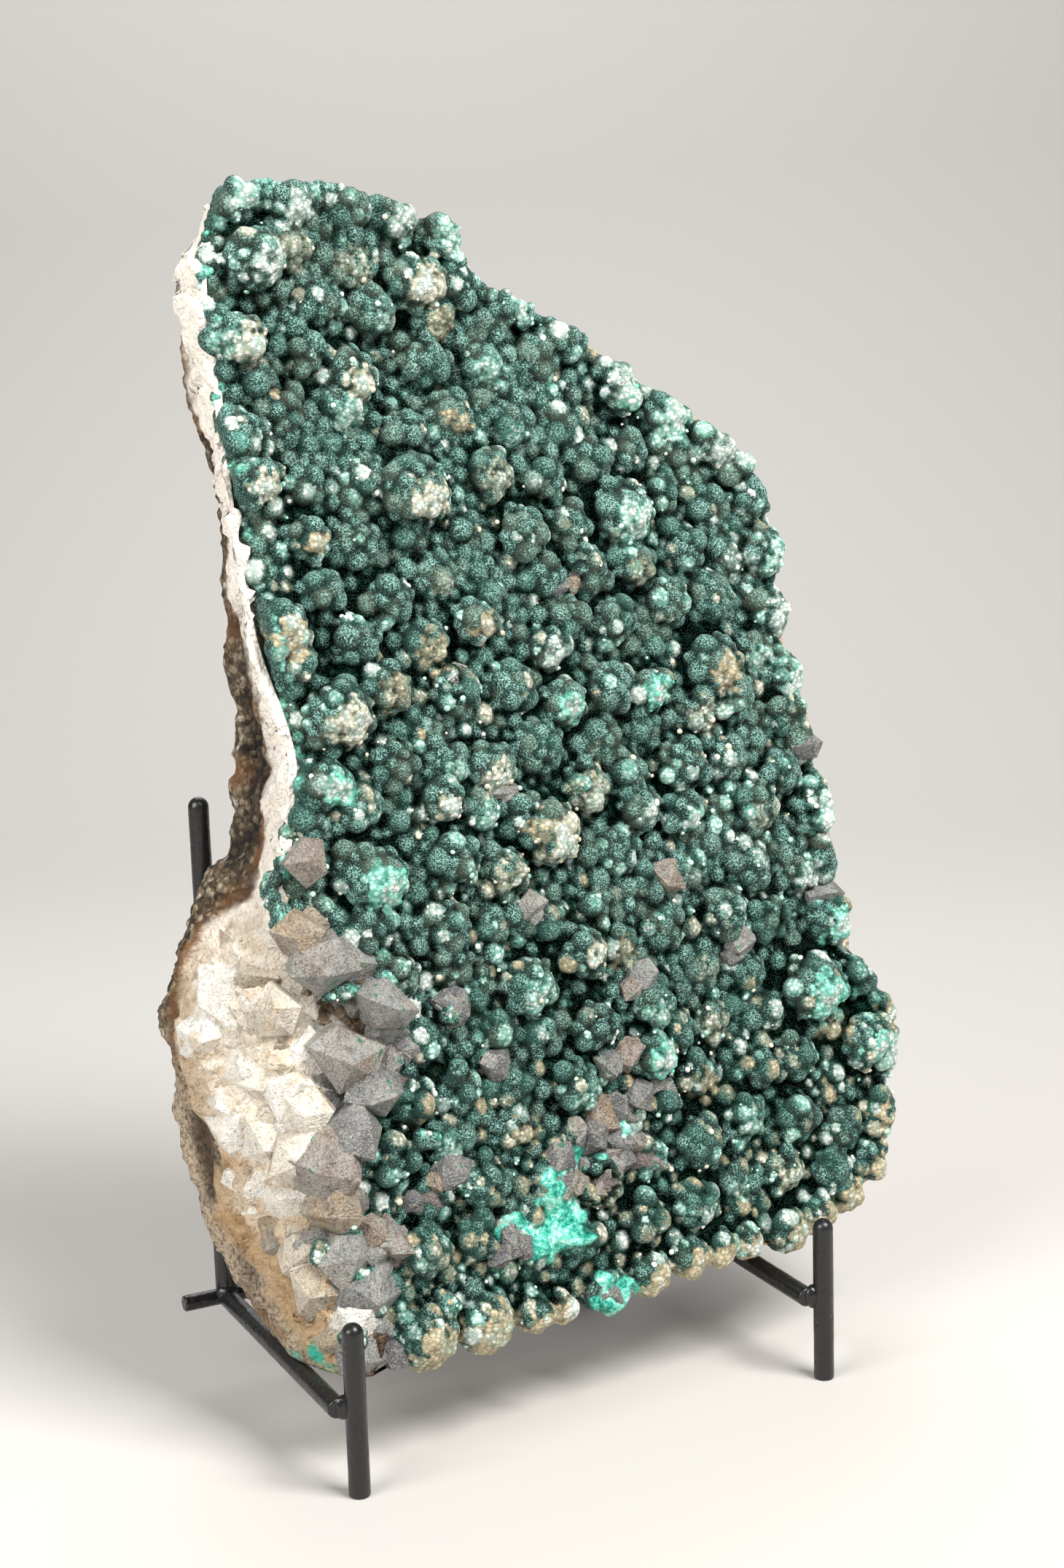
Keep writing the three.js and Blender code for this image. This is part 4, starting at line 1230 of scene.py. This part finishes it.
def velvet_finish():
    """Malachite: green velvet with painted shade in the gaps and painted light on the tips, with pale
    granules on its tips, rock and chalk.
    """
    finish = Finish("malachite_velvet", Sheen_Roughness=0.4, Sheen_Tint=(0.7, 1.0, 0.88))
    grain = finish.group(GRAIN, Grains_per_metre=2400.0, Speck=0.6)
    granules = finish.group(GRANULES, Granules_per_metre=820.0)
    tone = finish.number("tone")
    painted_shade = finish.number("painted_shade")
    lighter_grains = finish.fit(grain["Shade"], 0.42, 0.6, -0.21, 0.53)
    # The tips and their upper right sides are painted lighter: partly the crust's own paler tips, partly
    # painted highlight.
    velvet = finish.ramp(
        finish.add(finish.times(finish.number("tip"), 0.6), lighter_grains),
        (0.2, (0.002, 0.012, 0.009)),
        (0.42, (0.004, 0.027, 0.022)),
        (0.68, (0.038, 0.134, 0.113)),
        (0.95, (0.33, 0.58, 0.52)),
    )
    olive = finish.fit(tone, 0.5, 1.0, 0.0, 0.4)
    emerald = finish.fit(tone, 0.35, 0.0, 0.0, 0.4)
    velvet = finish.mix(olive, velvet, (0.12, 0.135, 0.09))
    velvet = finish.mix(emerald, velvet, (0.012, 0.085, 0.06))
    ragged = finish.noise(900, 3, 0.7)

    def cover(colour, name, dull, bright, reach=1.0):
        """Lays granules of these colours where the mesh says, ragged at the edges."""
        strength = finish.times(finish.number(name), reach)
        wavy = finish.add(strength, finish.fit(ragged, 0.25, 0.75, -0.32, 0.32))
        grainy = finish.add(wavy, finish.fit(granules["Own number"], 0.0, 1.0, -0.12, 0.12))
        domed = finish.add(finish.times(granules["Dome"], 0.65), finish.times(grainy, 0.4))
        paint = finish.ramp(domed, (0.22, dull), (0.84, bright))
        return finish.mix(finish.fit(grainy, 0.26, 0.86), colour, paint)

    colour = cover(velvet, "tan", (0.22, 0.2, 0.12), (0.7, 0.6, 0.4), 1.1)
    colour = cover(colour, "turquoise", (0.02, 0.26, 0.19), (0.42, 0.9, 0.76), 1.1)
    colour = cover(colour, "mint", (0.07, 0.3, 0.23), (0.7, 0.95, 0.86))
    colour = cover(colour, "cream", (0.24, 0.26, 0.16), (0.92, 0.89, 0.76))
    colour = cover(colour, "white", (0.2, 0.36, 0.3), (0.96, 0.98, 0.95))
    rock = finish.ramp(grain["Shade"], (0.35, (0.05, 0.04, 0.04)), (0.65, (0.32, 0.26, 0.24)))
    colour = finish.mix(finish.number("bare"), colour, rock)
    crumbly = finish.add(finish.times(ragged, 0.45), finish.times(finish.noise(170), 0.55))
    chalk = finish.ramp(
        crumbly,
        (0.36, (0.0, 0.1, 0.07)),
        (0.45, (0.02, 0.42, 0.3)),
        (0.53, (0.22, 0.82, 0.66)),
        (0.6, (0.72, 0.98, 0.9)),
    )
    colour = finish.mix(finish.fit(finish.number("chalk"), 0.25, 0.6), colour, chalk)
    # Painted shade: near black in the gaps between beads and mounds and under the beads.
    colour = finish.mix(painted_shade, colour, (0.01, 0.035, 0.028), "MULTIPLY")
    # Painted glints: pale specks that stand in for the sparkle of the fibres.
    colour = finish.mix(finish.times(grain["Speck and glint mask"], 0.6), colour, (0.33, 0.46, 0.4))
    height = finish.add(finish.times(grain["Height"], 0.9), granules["Dome"])
    finish.bump(height, strength=0.9, depth=0.4)
    return finish.feed(
        Base_Color=colour,
        Roughness=finish.fit(grain["Speck and glint mask"], 0.0, 0.7, 0.85, 0.35),
        # Less shine and sheen where the shade is painted.
        Specular_IOR_Level=finish.fit(painted_shade, 0.0, 0.8, 0.35, 0.0),
        Sheen_Weight=finish.fit(painted_shade, 0.0, 0.5, 0.08, 0.0),
    )


# The crust is made in five bands, one piece each: name, lowest and highest height.
CRUST_BANDS = [
    ("foot", 0, 66),
    ("lower", 66, 112),
    ("middle", 112, 160),
    ("upper", 160, 214),
    ("top", 214, 300),
]
CRUST_VOXEL = 0.62
# Over how many places of the field the beads and the mounds are evened out, to find the gaps between, where
# shade is painted.
BEAD_REACH = 8
MOUND_REACH = 22


def build_crust(dice):
    """Makes the five pieces. Returns the field of the very front, the beads, and for each tone how
    thickly its granules cover each bead."""
    field, inside, beads, mounds = grow_crust(dice)
    grown = len(beads)
    beads = np.concatenate([beads, clump_beads(dice)])
    spots = tip_spots(beads, inside, dice)
    spots["turquoise"][grown:] = 0.6 * dice.random(len(beads) - grown)
    bead_tone = dice.random(len(beads))
    front = field.copy()
    for bead in beads[:grown]:
        press_ball(front, bead[:3], bead[6])
    grown_front = np.where(inside > 0, front, field)
    bead_level = softened(grown_front, BEAD_REACH)
    mound_level = softened(grown_front, MOUND_REACH)
    x, z = np.meshgrid(FIELD_X, FIELD_Z)
    rock = patch_strength(BARE_ROCK, x, z)
    chalk = patch_strength(CHALK, x, z)
    finish = velvet_finish()
    for name, z_low, z_high in CRUST_BANDS:
        here = (beads[:, 2] >= z_low) & (beads[:, 2] < z_high)
        parts = [sheet_mesh(field, inside, z_low, z_high), ball_mesh(beads[here][:, [0, 1, 2, 6]], 3)]
        piece = remeshed(f"malachite_{name}", parts, CRUST_VOXEL)
        points = roughened(piece.data, chalk)
        number = nearest_beads(points, beads)
        on_bead, outward, tip, lit_tip = place_on_bead(points, beads[number])
        on_crust = number < grown
        depth, mound_depth = (
            np.where(on_crust, points[:, 1] - read_field(level, points), -1)
            for level in (bead_level, mound_level)
        )
        own_spots = {tone: amount[number] for tone, amount in spots.items()}
        values = granule_paint(points, own_spots, caps_at(points, mounds), tip, lit_tip)
        values["bare"] = read_field(rock, points) * (1 - on_bead)
        values["chalk"] = read_field(chalk, points) * (1 - 0.6 * on_bead)
        # Painted shade in the gaps and under the beads, and painted light on the tips.
        painted_shade, values["tip"] = velvet_shade(points, depth, mound_depth, outward, tip)
        values["painted_shade"] = painted_shade * (1 - np.maximum(values["bare"], values["chalk"]))
        values["tone"] = np.clip(bead_tone[number] - 0.3 * smoothstep(120, 60, points[:, 2]), 0, 1)
        for key, value in values.items():
            add_numbers(piece.data, key, value)
        piece.data.materials.clear()
        piece.data.materials.append(finish)
        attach(piece, "root")
        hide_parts("specimen")
    caps = caps_at(beads[:, :3], mounds)
    return front, beads, {tone: np.maximum(spots[tone], caps[tone]) for tone in TONES}


crust_dice = np.random.default_rng(11)
crust_front, crust_beads, bead_paint = build_crust(crust_dice)


# The pale granules. Tiny hard grains, cream, white, mint and turquoise, that have grown on the tips of
# the beads like sugar. These are the biggest ones, and the smaller ones are in the crust's colour.
GRANULE_REACH = 0.99
GRANULE_FLATNESS = 0.35


def granule_finish():
    """Cream, white, mint and turquoise, a little glassy."""
    finish = Finish("pale_granules")
    colour = finish.ramp(
        finish.number("tint"),
        (0.0, (0.82, 0.76, 0.58)),
        (0.25, (0.92, 0.95, 0.9)),
        (0.5, (0.6, 0.88, 0.77)),
        (0.75, (0.16, 0.72, 0.52)),
    )
    mottle = finish.noise(2500, 2)
    colour = finish.mix(finish.fit(mottle, 0.4, 0.7), colour, (0.55, 0.6, 0.52), "MULTIPLY")
    finish.bump(mottle, strength=0.4, depth=0.15)
    return finish.feed(Base_Color=colour, Roughness=finish.fit(mottle, 0.3, 0.7, 0.35, 0.6))


def build_granules(front, beads, paint, dice):
    """Strews the granules over the tips of the beads, thicker where the crust is paler."""
    tones = np.stack([paint[tone] for tone in TONES])
    cover = tones.max(axis=0)
    kind = tones.argmax(axis=0)
    pale = (cover > 0.5) & (kind != TONES.index("tan"))
    count = (dice.random(len(beads)) * (0.3 + 2.2 * cover) * pale).astype(int)
    owner = np.repeat(np.arange(len(beads)), count)
    own = beads[owner]
    lean = dice.normal(0, 0.55, (len(owner), 3)) + (0.25, 0, -0.1)
    way = own[:, 3:6] + lean
    way /= np.linalg.norm(way, axis=1, keepdims=True)
    places = own[:, :3] + way * (GRANULE_REACH * own[:, 6:])
    open_side = places[:, 1] < read_field(front, places) + 0.5
    radius = 0.32 + 0.5 * dice.random(len(owner)) ** 1.7
    tint = kind[owner] / (len(TONES) - 1) + 0.04 * dice.normal(0, 1, len(owner))
    granules = np.column_stack([places, radius])[open_side]
    points, faces = ball_mesh(granules, 2)
    each = len(points) // len(granules)
    upright = np.repeat(own[open_side][:, 3:6], each, axis=0)
    middle = np.repeat(granules[:, :3], each, axis=0)
    away = points - middle
    points = middle + away - GRANULE_FLATNESS * upright * (away * upright).sum(axis=1)[:, None]
    piece = new_piece("pale_granules", points, faces, granule_finish())
    add_numbers(piece.data, "tint", np.repeat(tint[open_side], each))


build_granules(crust_front, crust_beads, bead_paint, crust_dice)


# The quartz crystals. Cream and white ones are crowded together in the band on the left flank, and
# grey ones with a dusty film stand between it and the crust and show on the face where the crust is
# thin. All grew into each other, so that only their blunt points stand out, with flat faces.

# The main ones: the place of the point, the width, where it points and how it rises, and its tone.
CRYSTALS = [
    ((10, 17, 95), 8.5, 262, 5, "grey"), ((9, 13, 69), 8.5, 300, -10, "peach"),
    ((8, 23, 115), 7.5, 262, -10, "grey"), ((23, 19, 105), 7, 275, 0, "grey"),
    ((1, 27, 124), 6, 240, 5, "tan"), ((22, 18, 86), 6, 320, -5, "dark"),
    ((13, 15, 81), 6.5, 285, 20, "grey"), ((9, 13, 60), 7, 300, 0, "tan"),
    ((6, 9.5, 51), 7, 270, 5, "grey"), ((10, 6.5, 41), 7, 275, -5, "grey"),
    ((4, 7.5, 35), 7, 250, -10, "white"), ((-3, 13.5, 43), 8, 235, -5, "tan"),
    ((-2, 22, 84), 8, 240, 5, "cream"), ((-9, 32, 88), 9, 225, 0, "cream"),
    ((-3, 19, 72), 7, 250, -5, "cream"), ((-5, 28, 107), 7, 235, 10, "cream"),
    ((-9, 36, 60), 8, 220, -5, "cream"), ((-12, 44, 76), 7, 205, 0, "cream"),
    ((155, 46, 150), 5, 330, 10, "dark"), ((160, 44, 110), 7, 350, 5, "dark"),
]
# One more, which stands out through the edge of the crust.
EDGE_CRYSTAL = ((6, 28, 141), 5.4, 258, 8, "peach")
CRYSTAL_TONES = {"dark": 0.0, "grey": 0.2, "peach": 0.4, "tan": 0.6, "cream": 0.8, "white": 1.0}
# Where the crystals start on the left flank: height and place around the stone.
FLANK_START = [(24, 10.9), (45, 10.6), (60, 10.35), (110, 10.4), (130, 10.8), (160, 11.0), (290, 10.7)]
FLANK_TOP = 140
# Crystals to try on the flank, of each kind: how many, the smallest width, and how much wider they may be.
FLANK_KINDS = [(500, 5.5, 3.5), (2600, 3.2, 2.4)]


def crystal_shape(tip, width, way, dice):
    """A blunt point with a few flat faces and sharp, slightly worn edges; the rest is in the stone."""
    side = np.cross(way, (0.1, 0.2, 1))
    side /= np.linalg.norm(side)
    other = np.cross(way, side)
    turn = dice.random() * math.pi
    ridge = (dice.random() - 0.3) * 0.7 * width
    ridge_way = side * math.cos(turn) + other * math.sin(turn)
    corners = [tip - ridge_way * ridge / 2, tip + ridge_way * ridge / 2 - way * 0.12 * width]
    for k in range(5):
        angle = turn + (k + 0.45 * (dice.random() - 0.5)) * 2 * math.pi / 5
        spread = side * math.cos(angle) + other * math.sin(angle)
        reach = width * (0.85 + 0.4 * dice.random())
        shoulder = (0.45 + 0.5 * dice.random()) * width
        corners.append(tip + spread * reach - way * shoulder)
        corners.append(tip + spread * reach - way * (shoulder + 1.1 * width))
    shape = bmesh.new()
    for corner in corners:
        shape.verts.new(corner)
    bmesh.ops.convex_hull(shape, input=shape.verts)
    loose = [v for v in shape.verts if not v.link_faces]
    bmesh.ops.delete(shape, geom=loose, context="VERTS")
    bmesh.ops.dissolve_limit(shape, angle_limit=math.radians(9), verts=shape.verts, edges=shape.edges)
    worn = 0.012 * width
    bmesh.ops.bevel(shape, geom=shape.edges, offset=worn, segments=1, affect="EDGES", clamp_overlap=True)
    bmesh.ops.triangulate(shape, faces=shape.faces)
    return taken_apart(shape)


def crystal_finish():
    """Grey, honey, cream and white quartz, streaked along its length, under a dusty film."""
    finish = Finish("filmed_quartz")
    grain = finish.group(GRAIN, Grains_per_metre=1300.0, Speck=0.6)
    tint = finish.number("tint")
    clear = finish.ramp(
        tint,
        (0.0, (0.16, 0.163, 0.17)),
        (0.2, (0.34, 0.35, 0.345)),
        (0.4, (0.33, 0.27, 0.225)),
        (0.6, (0.4, 0.31, 0.2)),
        (0.8, (0.85, 0.79, 0.68)),
        (1.0, (0.92, 0.89, 0.83)),
    )
    film = finish.noise(420, 8, 0.85)
    streaks = finish.noise(520, 3, 0.6, drawn_out(finish, (1.0, 1.0, 0.22)))
    dusty = finish.fit(tint, 0.55, 0.8, 1.0, 0.4)
    film_here = finish.times(finish.fit(film, 0.46, 0.56, 0.0, 0.75), dusty)
    colour = finish.mix(film_here, clear, (0.36, 0.36, 0.35), "MULTIPLY")
    streaks_here = finish.times(finish.fit(streaks, 0.5, 0.66, 0.0, 0.6), dusty)
    colour = finish.mix(streaks_here, colour, (0.45, 0.45, 0.45), "MULTIPLY")
    dust = finish.add(finish.noise(210, 5, 0.75), finish.fit(grain["Shade"], 0.3, 0.7, -0.1, 0.1))
    dust_here = finish.times(finish.fit(dust, 0.5, 0.64, 0.0, 0.55), dusty)
    colour = finish.mix(dust_here, colour, (0.58, 0.54, 0.48))
    honey = finish.fit(finish.noise(95, 4, 0.65), 0.56, 0.7, 0.0, 0.7)
    honey_here = finish.times(honey, finish.fit(tint, 0.3, 0.5))
    colour = finish.mix(honey_here, colour, (0.8, 0.58, 0.34), "MULTIPLY")
    green = finish.add(finish.noise(210, 6, 0.7), finish.fit(grain["Shade"], 0.3, 0.7, -0.08, 0.08))
    green_here = finish.times(finish.fit(green, 0.6, 0.66), finish.fit(tint, 0.6, 0.4))
    colour = finish.mix(green_here, colour, (0.03, 0.16, 0.11))
    dark_grains = finish.fit(grain["Shade"], 0.46, 0.34, 0.0, 0.8)
    colour = finish.mix(dark_grains, colour, (0.3, 0.28, 0.27), "MULTIPLY")
    colour = finish.mix(grain["Speck and glint mask"], colour, (0.85, 0.82, 0.76))
    height = finish.add(finish.add(film, streaks), grain["Height"])
    finish.bump(height, strength=0.8, depth=0.5)
    return finish.feed(Base_Color=colour, Roughness=finish.fit(film, 0.35, 0.65, 0.28, 0.55))


def drawn_out(finish, scale):
    """The place on the piece, scaled along its axes, which draws a noise out along the smallest."""
    node = finish.tree.nodes.new("ShaderNodeVectorMath")
    node.operation = "MULTIPLY"
    finish.put(finish.where, node.inputs[0])
    finish.put(scale, node.inputs[1])
    return node.outputs["Vector"]


def face_crystals(dice):
    """Blocks of quartz that show on the face, where the crust is missing."""
    found = []
    for x, z, rx, rz in BARE_ROCK:
        for _ in range(int(1 + rx * rz / 5)):
            px = x + rx * 0.8 * (dice.random() - 0.5) * 2
            pz = z + rz * 0.8 * (dice.random() - 0.5) * 2
            width = 2.4 + 2.6 * dice.random()
            tip = (px, face_y(px, pz) + 0.4 - 1.0 * dice.random(), pz)
            tone = ("dark", "dark", "grey", "peach")[int(dice.random() * 4)]
            found.append((tip, width, 225 + 90 * dice.random(), 60 * (dice.random() - 0.5), tone))
    return found


def flank_tones(z, ring):
    """The tones that crystals of the flank have there; a tone named twice is twice as common."""
    beside_crust = ring > 11.35 or ring < RIGHT_SIDE
    if beside_crust and z < 112:
        return ("dark", "dark", "grey", "grey", "grey", "white")
    if beside_crust:
        return ("cream", "grey", "tan", "peach", "grey")
    if z < 56:
        return ("tan", "tan", "cream", "peach")
    return ("cream", "white", "white", "cream", "tan")


def flank_crystals(points, outward, ring, dice):
    """Crystals crowded over the band on the flank and over the bare strip beside the crust. They are
    slimmer and lower towards its upper end."""
    x, z = points[:, 0], points[:, 2]
    bare_face = (ring < 1.2) & (inside_edge(x, z) < 1.5) & (z < 130)
    on_band = ring > np.interp(z, *np.transpose(FLANK_START))
    allowed = (on_band | bare_face) & (z > REST_Z + 3) & (z < FLANK_TOP)
    places, ways, rings = points[allowed], outward[allowed], ring[allowed]
    high = places[:, 2]
    slim = np.interp(high, [116, 138], [1.0, 0.6])
    proud = np.interp(high, [108, 136], [1.0, 0.2])
    sizes = np.concatenate([least + more * dice.random(count) for count, least, more in FLANK_KINDS])
    pick = dice.integers(0, len(places), len(sizes))
    kept = []
    for number, width in zip(pick, sizes * slim[pick]):
        if all(math.dist(places[number], places[other]) > 0.52 * (width + size) for other, size in kept):
            kept.append((number, width))
    found = []
    for number, width in kept:
        place = places[number]
        tones = flank_tones(place[2], rings[number])
        tone = tones[int(dice.random() * len(tones))]
        lean = ways[number] + dice.normal(0, 0.28, 3)
        lean /= np.linalg.norm(lean)
        stands = (0.3 + 0.25 * dice.random()) * width * proud[number]
        small_up_here = np.interp(place[2], [124, 134], [1.0, 0.35])
        found.append((place + lean * stands, width * small_up_here, lean, tone))
    return found


def aimed(crystals):
    """Turns each heading, in degrees from +X, and rise above level into one direction."""
    found = []
    for tip, width, heading, rise, tone in crystals:
        heading, rise = math.radians(heading), math.radians(rise)
        level = math.cos(rise)
        way = np.array([level * math.cos(heading), level * math.sin(heading), math.sin(rise)])
        found.append((tip, width, way, tone))
    return found


def build_crystals():
    dice = np.random.default_rng(23)
    crystals = aimed(CRYSTALS + face_crystals(dice))
    crystals += flank_crystals(rock_points, rock_outward, rock_ring, dice)
    crystals += aimed([EDGE_CRYSTAL])
    points, faces, tints = [], [], []
    total = 0
    for tip, width, way, tone in crystals:
        shape_points, shape_faces = crystal_shape(np.array(tip, float), width, way, dice)
        points.append(shape_points)
        faces += [[total + i for i in face] for face in shape_faces]
        total += len(shape_points)
        tints.append(CRYSTAL_TONES[tone] + 0.06 * dice.normal() + 0.06 * dice.normal(size=len(shape_points)))
    points = np.concatenate(points)
    points[:, 2] = np.maximum(points[:, 2], REST_Z)
    piece = new_piece("quartz_crystals", points, faces, crystal_finish())
    piece.data.shade_flat()
    add_numbers(piece.data, "tint", np.clip(np.concatenate(tints), 0, 1))


build_crystals()


# The floor and backdrop of the picture. One sheet of pale paper lies under the stand and rises in a
# wide curve to a wall behind the stone, as seen from the camera.
CAMERA_PLACE = (-190.60, -490.27, 266.87)
CAMERA_RIGHT = (0.89557, -0.44390, -0.03006)
CAMERA_UP = (0.11296, 0.16151, 0.98039)
CAMERA_FORWARD = (0.43034, 0.88140, -0.19479)
# The sheet's sizes, in metres.
WALL_FAR = 1.5
WALL_CURVE = 0.9
WALL_HEIGHT = 3.5
FLOOR_REACH = 4.0


def build_backdrop():
    away = np.array([CAMERA_FORWARD[0], CAMERA_FORWARD[1], 0])
    away /= np.linalg.norm(away)
    across = np.array([away[1], -away[0], 0])
    profile = [(-FLOOR_REACH, 0.0)]
    for bend in np.linspace(0, math.pi / 2, 25):
        far = WALL_FAR - WALL_CURVE + WALL_CURVE * math.sin(bend)
        profile.append((far, WALL_CURVE * (1 - math.cos(bend))))
    profile.append((WALL_FAR, WALL_HEIGHT))
    points = []
    for far, high in profile:
        for side in (-FLOOR_REACH, FLOOR_REACH):
            points.append(away * far + across * side + (0, 0, high))
    faces = [(2 * k, 2 * k + 1, 2 * k + 3, 2 * k + 2) for k in range(len(profile) - 1)]
    mesh = bpy.data.meshes.new("backdrop")
    mesh.from_pydata([tuple(p) for p in points], [], faces)
    mesh.shade_smooth()
    mesh.materials.append(Finish("pale_paper", Base_Color=(0.53, 0.52, 0.505), Roughness=0.8).material)
    backdrop = bpy.data.objects.new("backdrop", mesh)
    bpy.context.scene.collection.objects.link(backdrop)


build_backdrop()


# The light of the picture. Soft lamps on the right, on the left and behind, one more that washes the
# wall, and a dim even light from all round.
AMBIENT_COLOUR = (0.8, 0.79, 0.77, 1)
AMBIENT_STRENGTH = 0.24
STONE_MIDDLE = (70, 40, 150)
WALL_MIDDLE = (900, 1900, 1400)

world = bpy.data.worlds.new("studio")
world.use_nodes = True
world.node_tree.nodes["Background"].inputs["Color"].default_value = AMBIENT_COLOUR
world.node_tree.nodes["Background"].inputs["Strength"].default_value = AMBIENT_STRENGTH
bpy.context.scene.world = world
bpy.context.scene.view_settings.view_transform = "Standard"


def lamp(name, place, size, power, colour, target=STONE_MIDDLE):
    """A square lamp with a side of that size in metres, aimed at the target."""
    light = bpy.data.lights.new(name, "AREA")
    light.size = size
    light.energy = power
    light.color = colour
    thing = bpy.data.objects.new(name, light)
    thing.location = np.array(place) * MM + STAND
    aim = Vector(np.array(target) * MM + STAND) - thing.location
    thing.rotation_euler = aim.to_track_quat("-Z", "Y").to_euler()
    bpy.context.scene.collection.objects.link(thing)


lamp("key", (350, -560, 950), size=0.5, power=19, colour=(1.0, 0.97, 0.93))
lamp("side", (-750, -250, 600), size=0.6, power=9, colour=(1.0, 0.98, 0.95))
lamp("back", (300, 700, 900), size=0.7, power=4, colour=(1.0, 1.0, 1.0))
lamp("wall_wash", (200, 700, 1500), size=0.6, power=14.5, colour=(1.0, 0.98, 0.96), target=WALL_MIDDLE)

# The camera. It stands in front of the stone and to the left, a little higher than its middle, and
# sees the whole stone and stand.
CAMERA_LENS = 57.44
SENSOR_WIDTH = 36

camera_data = bpy.data.cameras.new("camera")
camera_data.lens = CAMERA_LENS
camera_data.sensor_width = SENSOR_WIDTH
camera = bpy.data.objects.new("camera", camera_data)
turned = Matrix((CAMERA_RIGHT, CAMERA_UP, -Vector(CAMERA_FORWARD))).transposed()
camera.matrix_world = Matrix.Translation(Vector(np.array(CAMERA_PLACE) * MM + STAND)) @ turned.to_4x4()
bpy.context.scene.collection.objects.link(camera)
bpy.context.scene.camera = camera
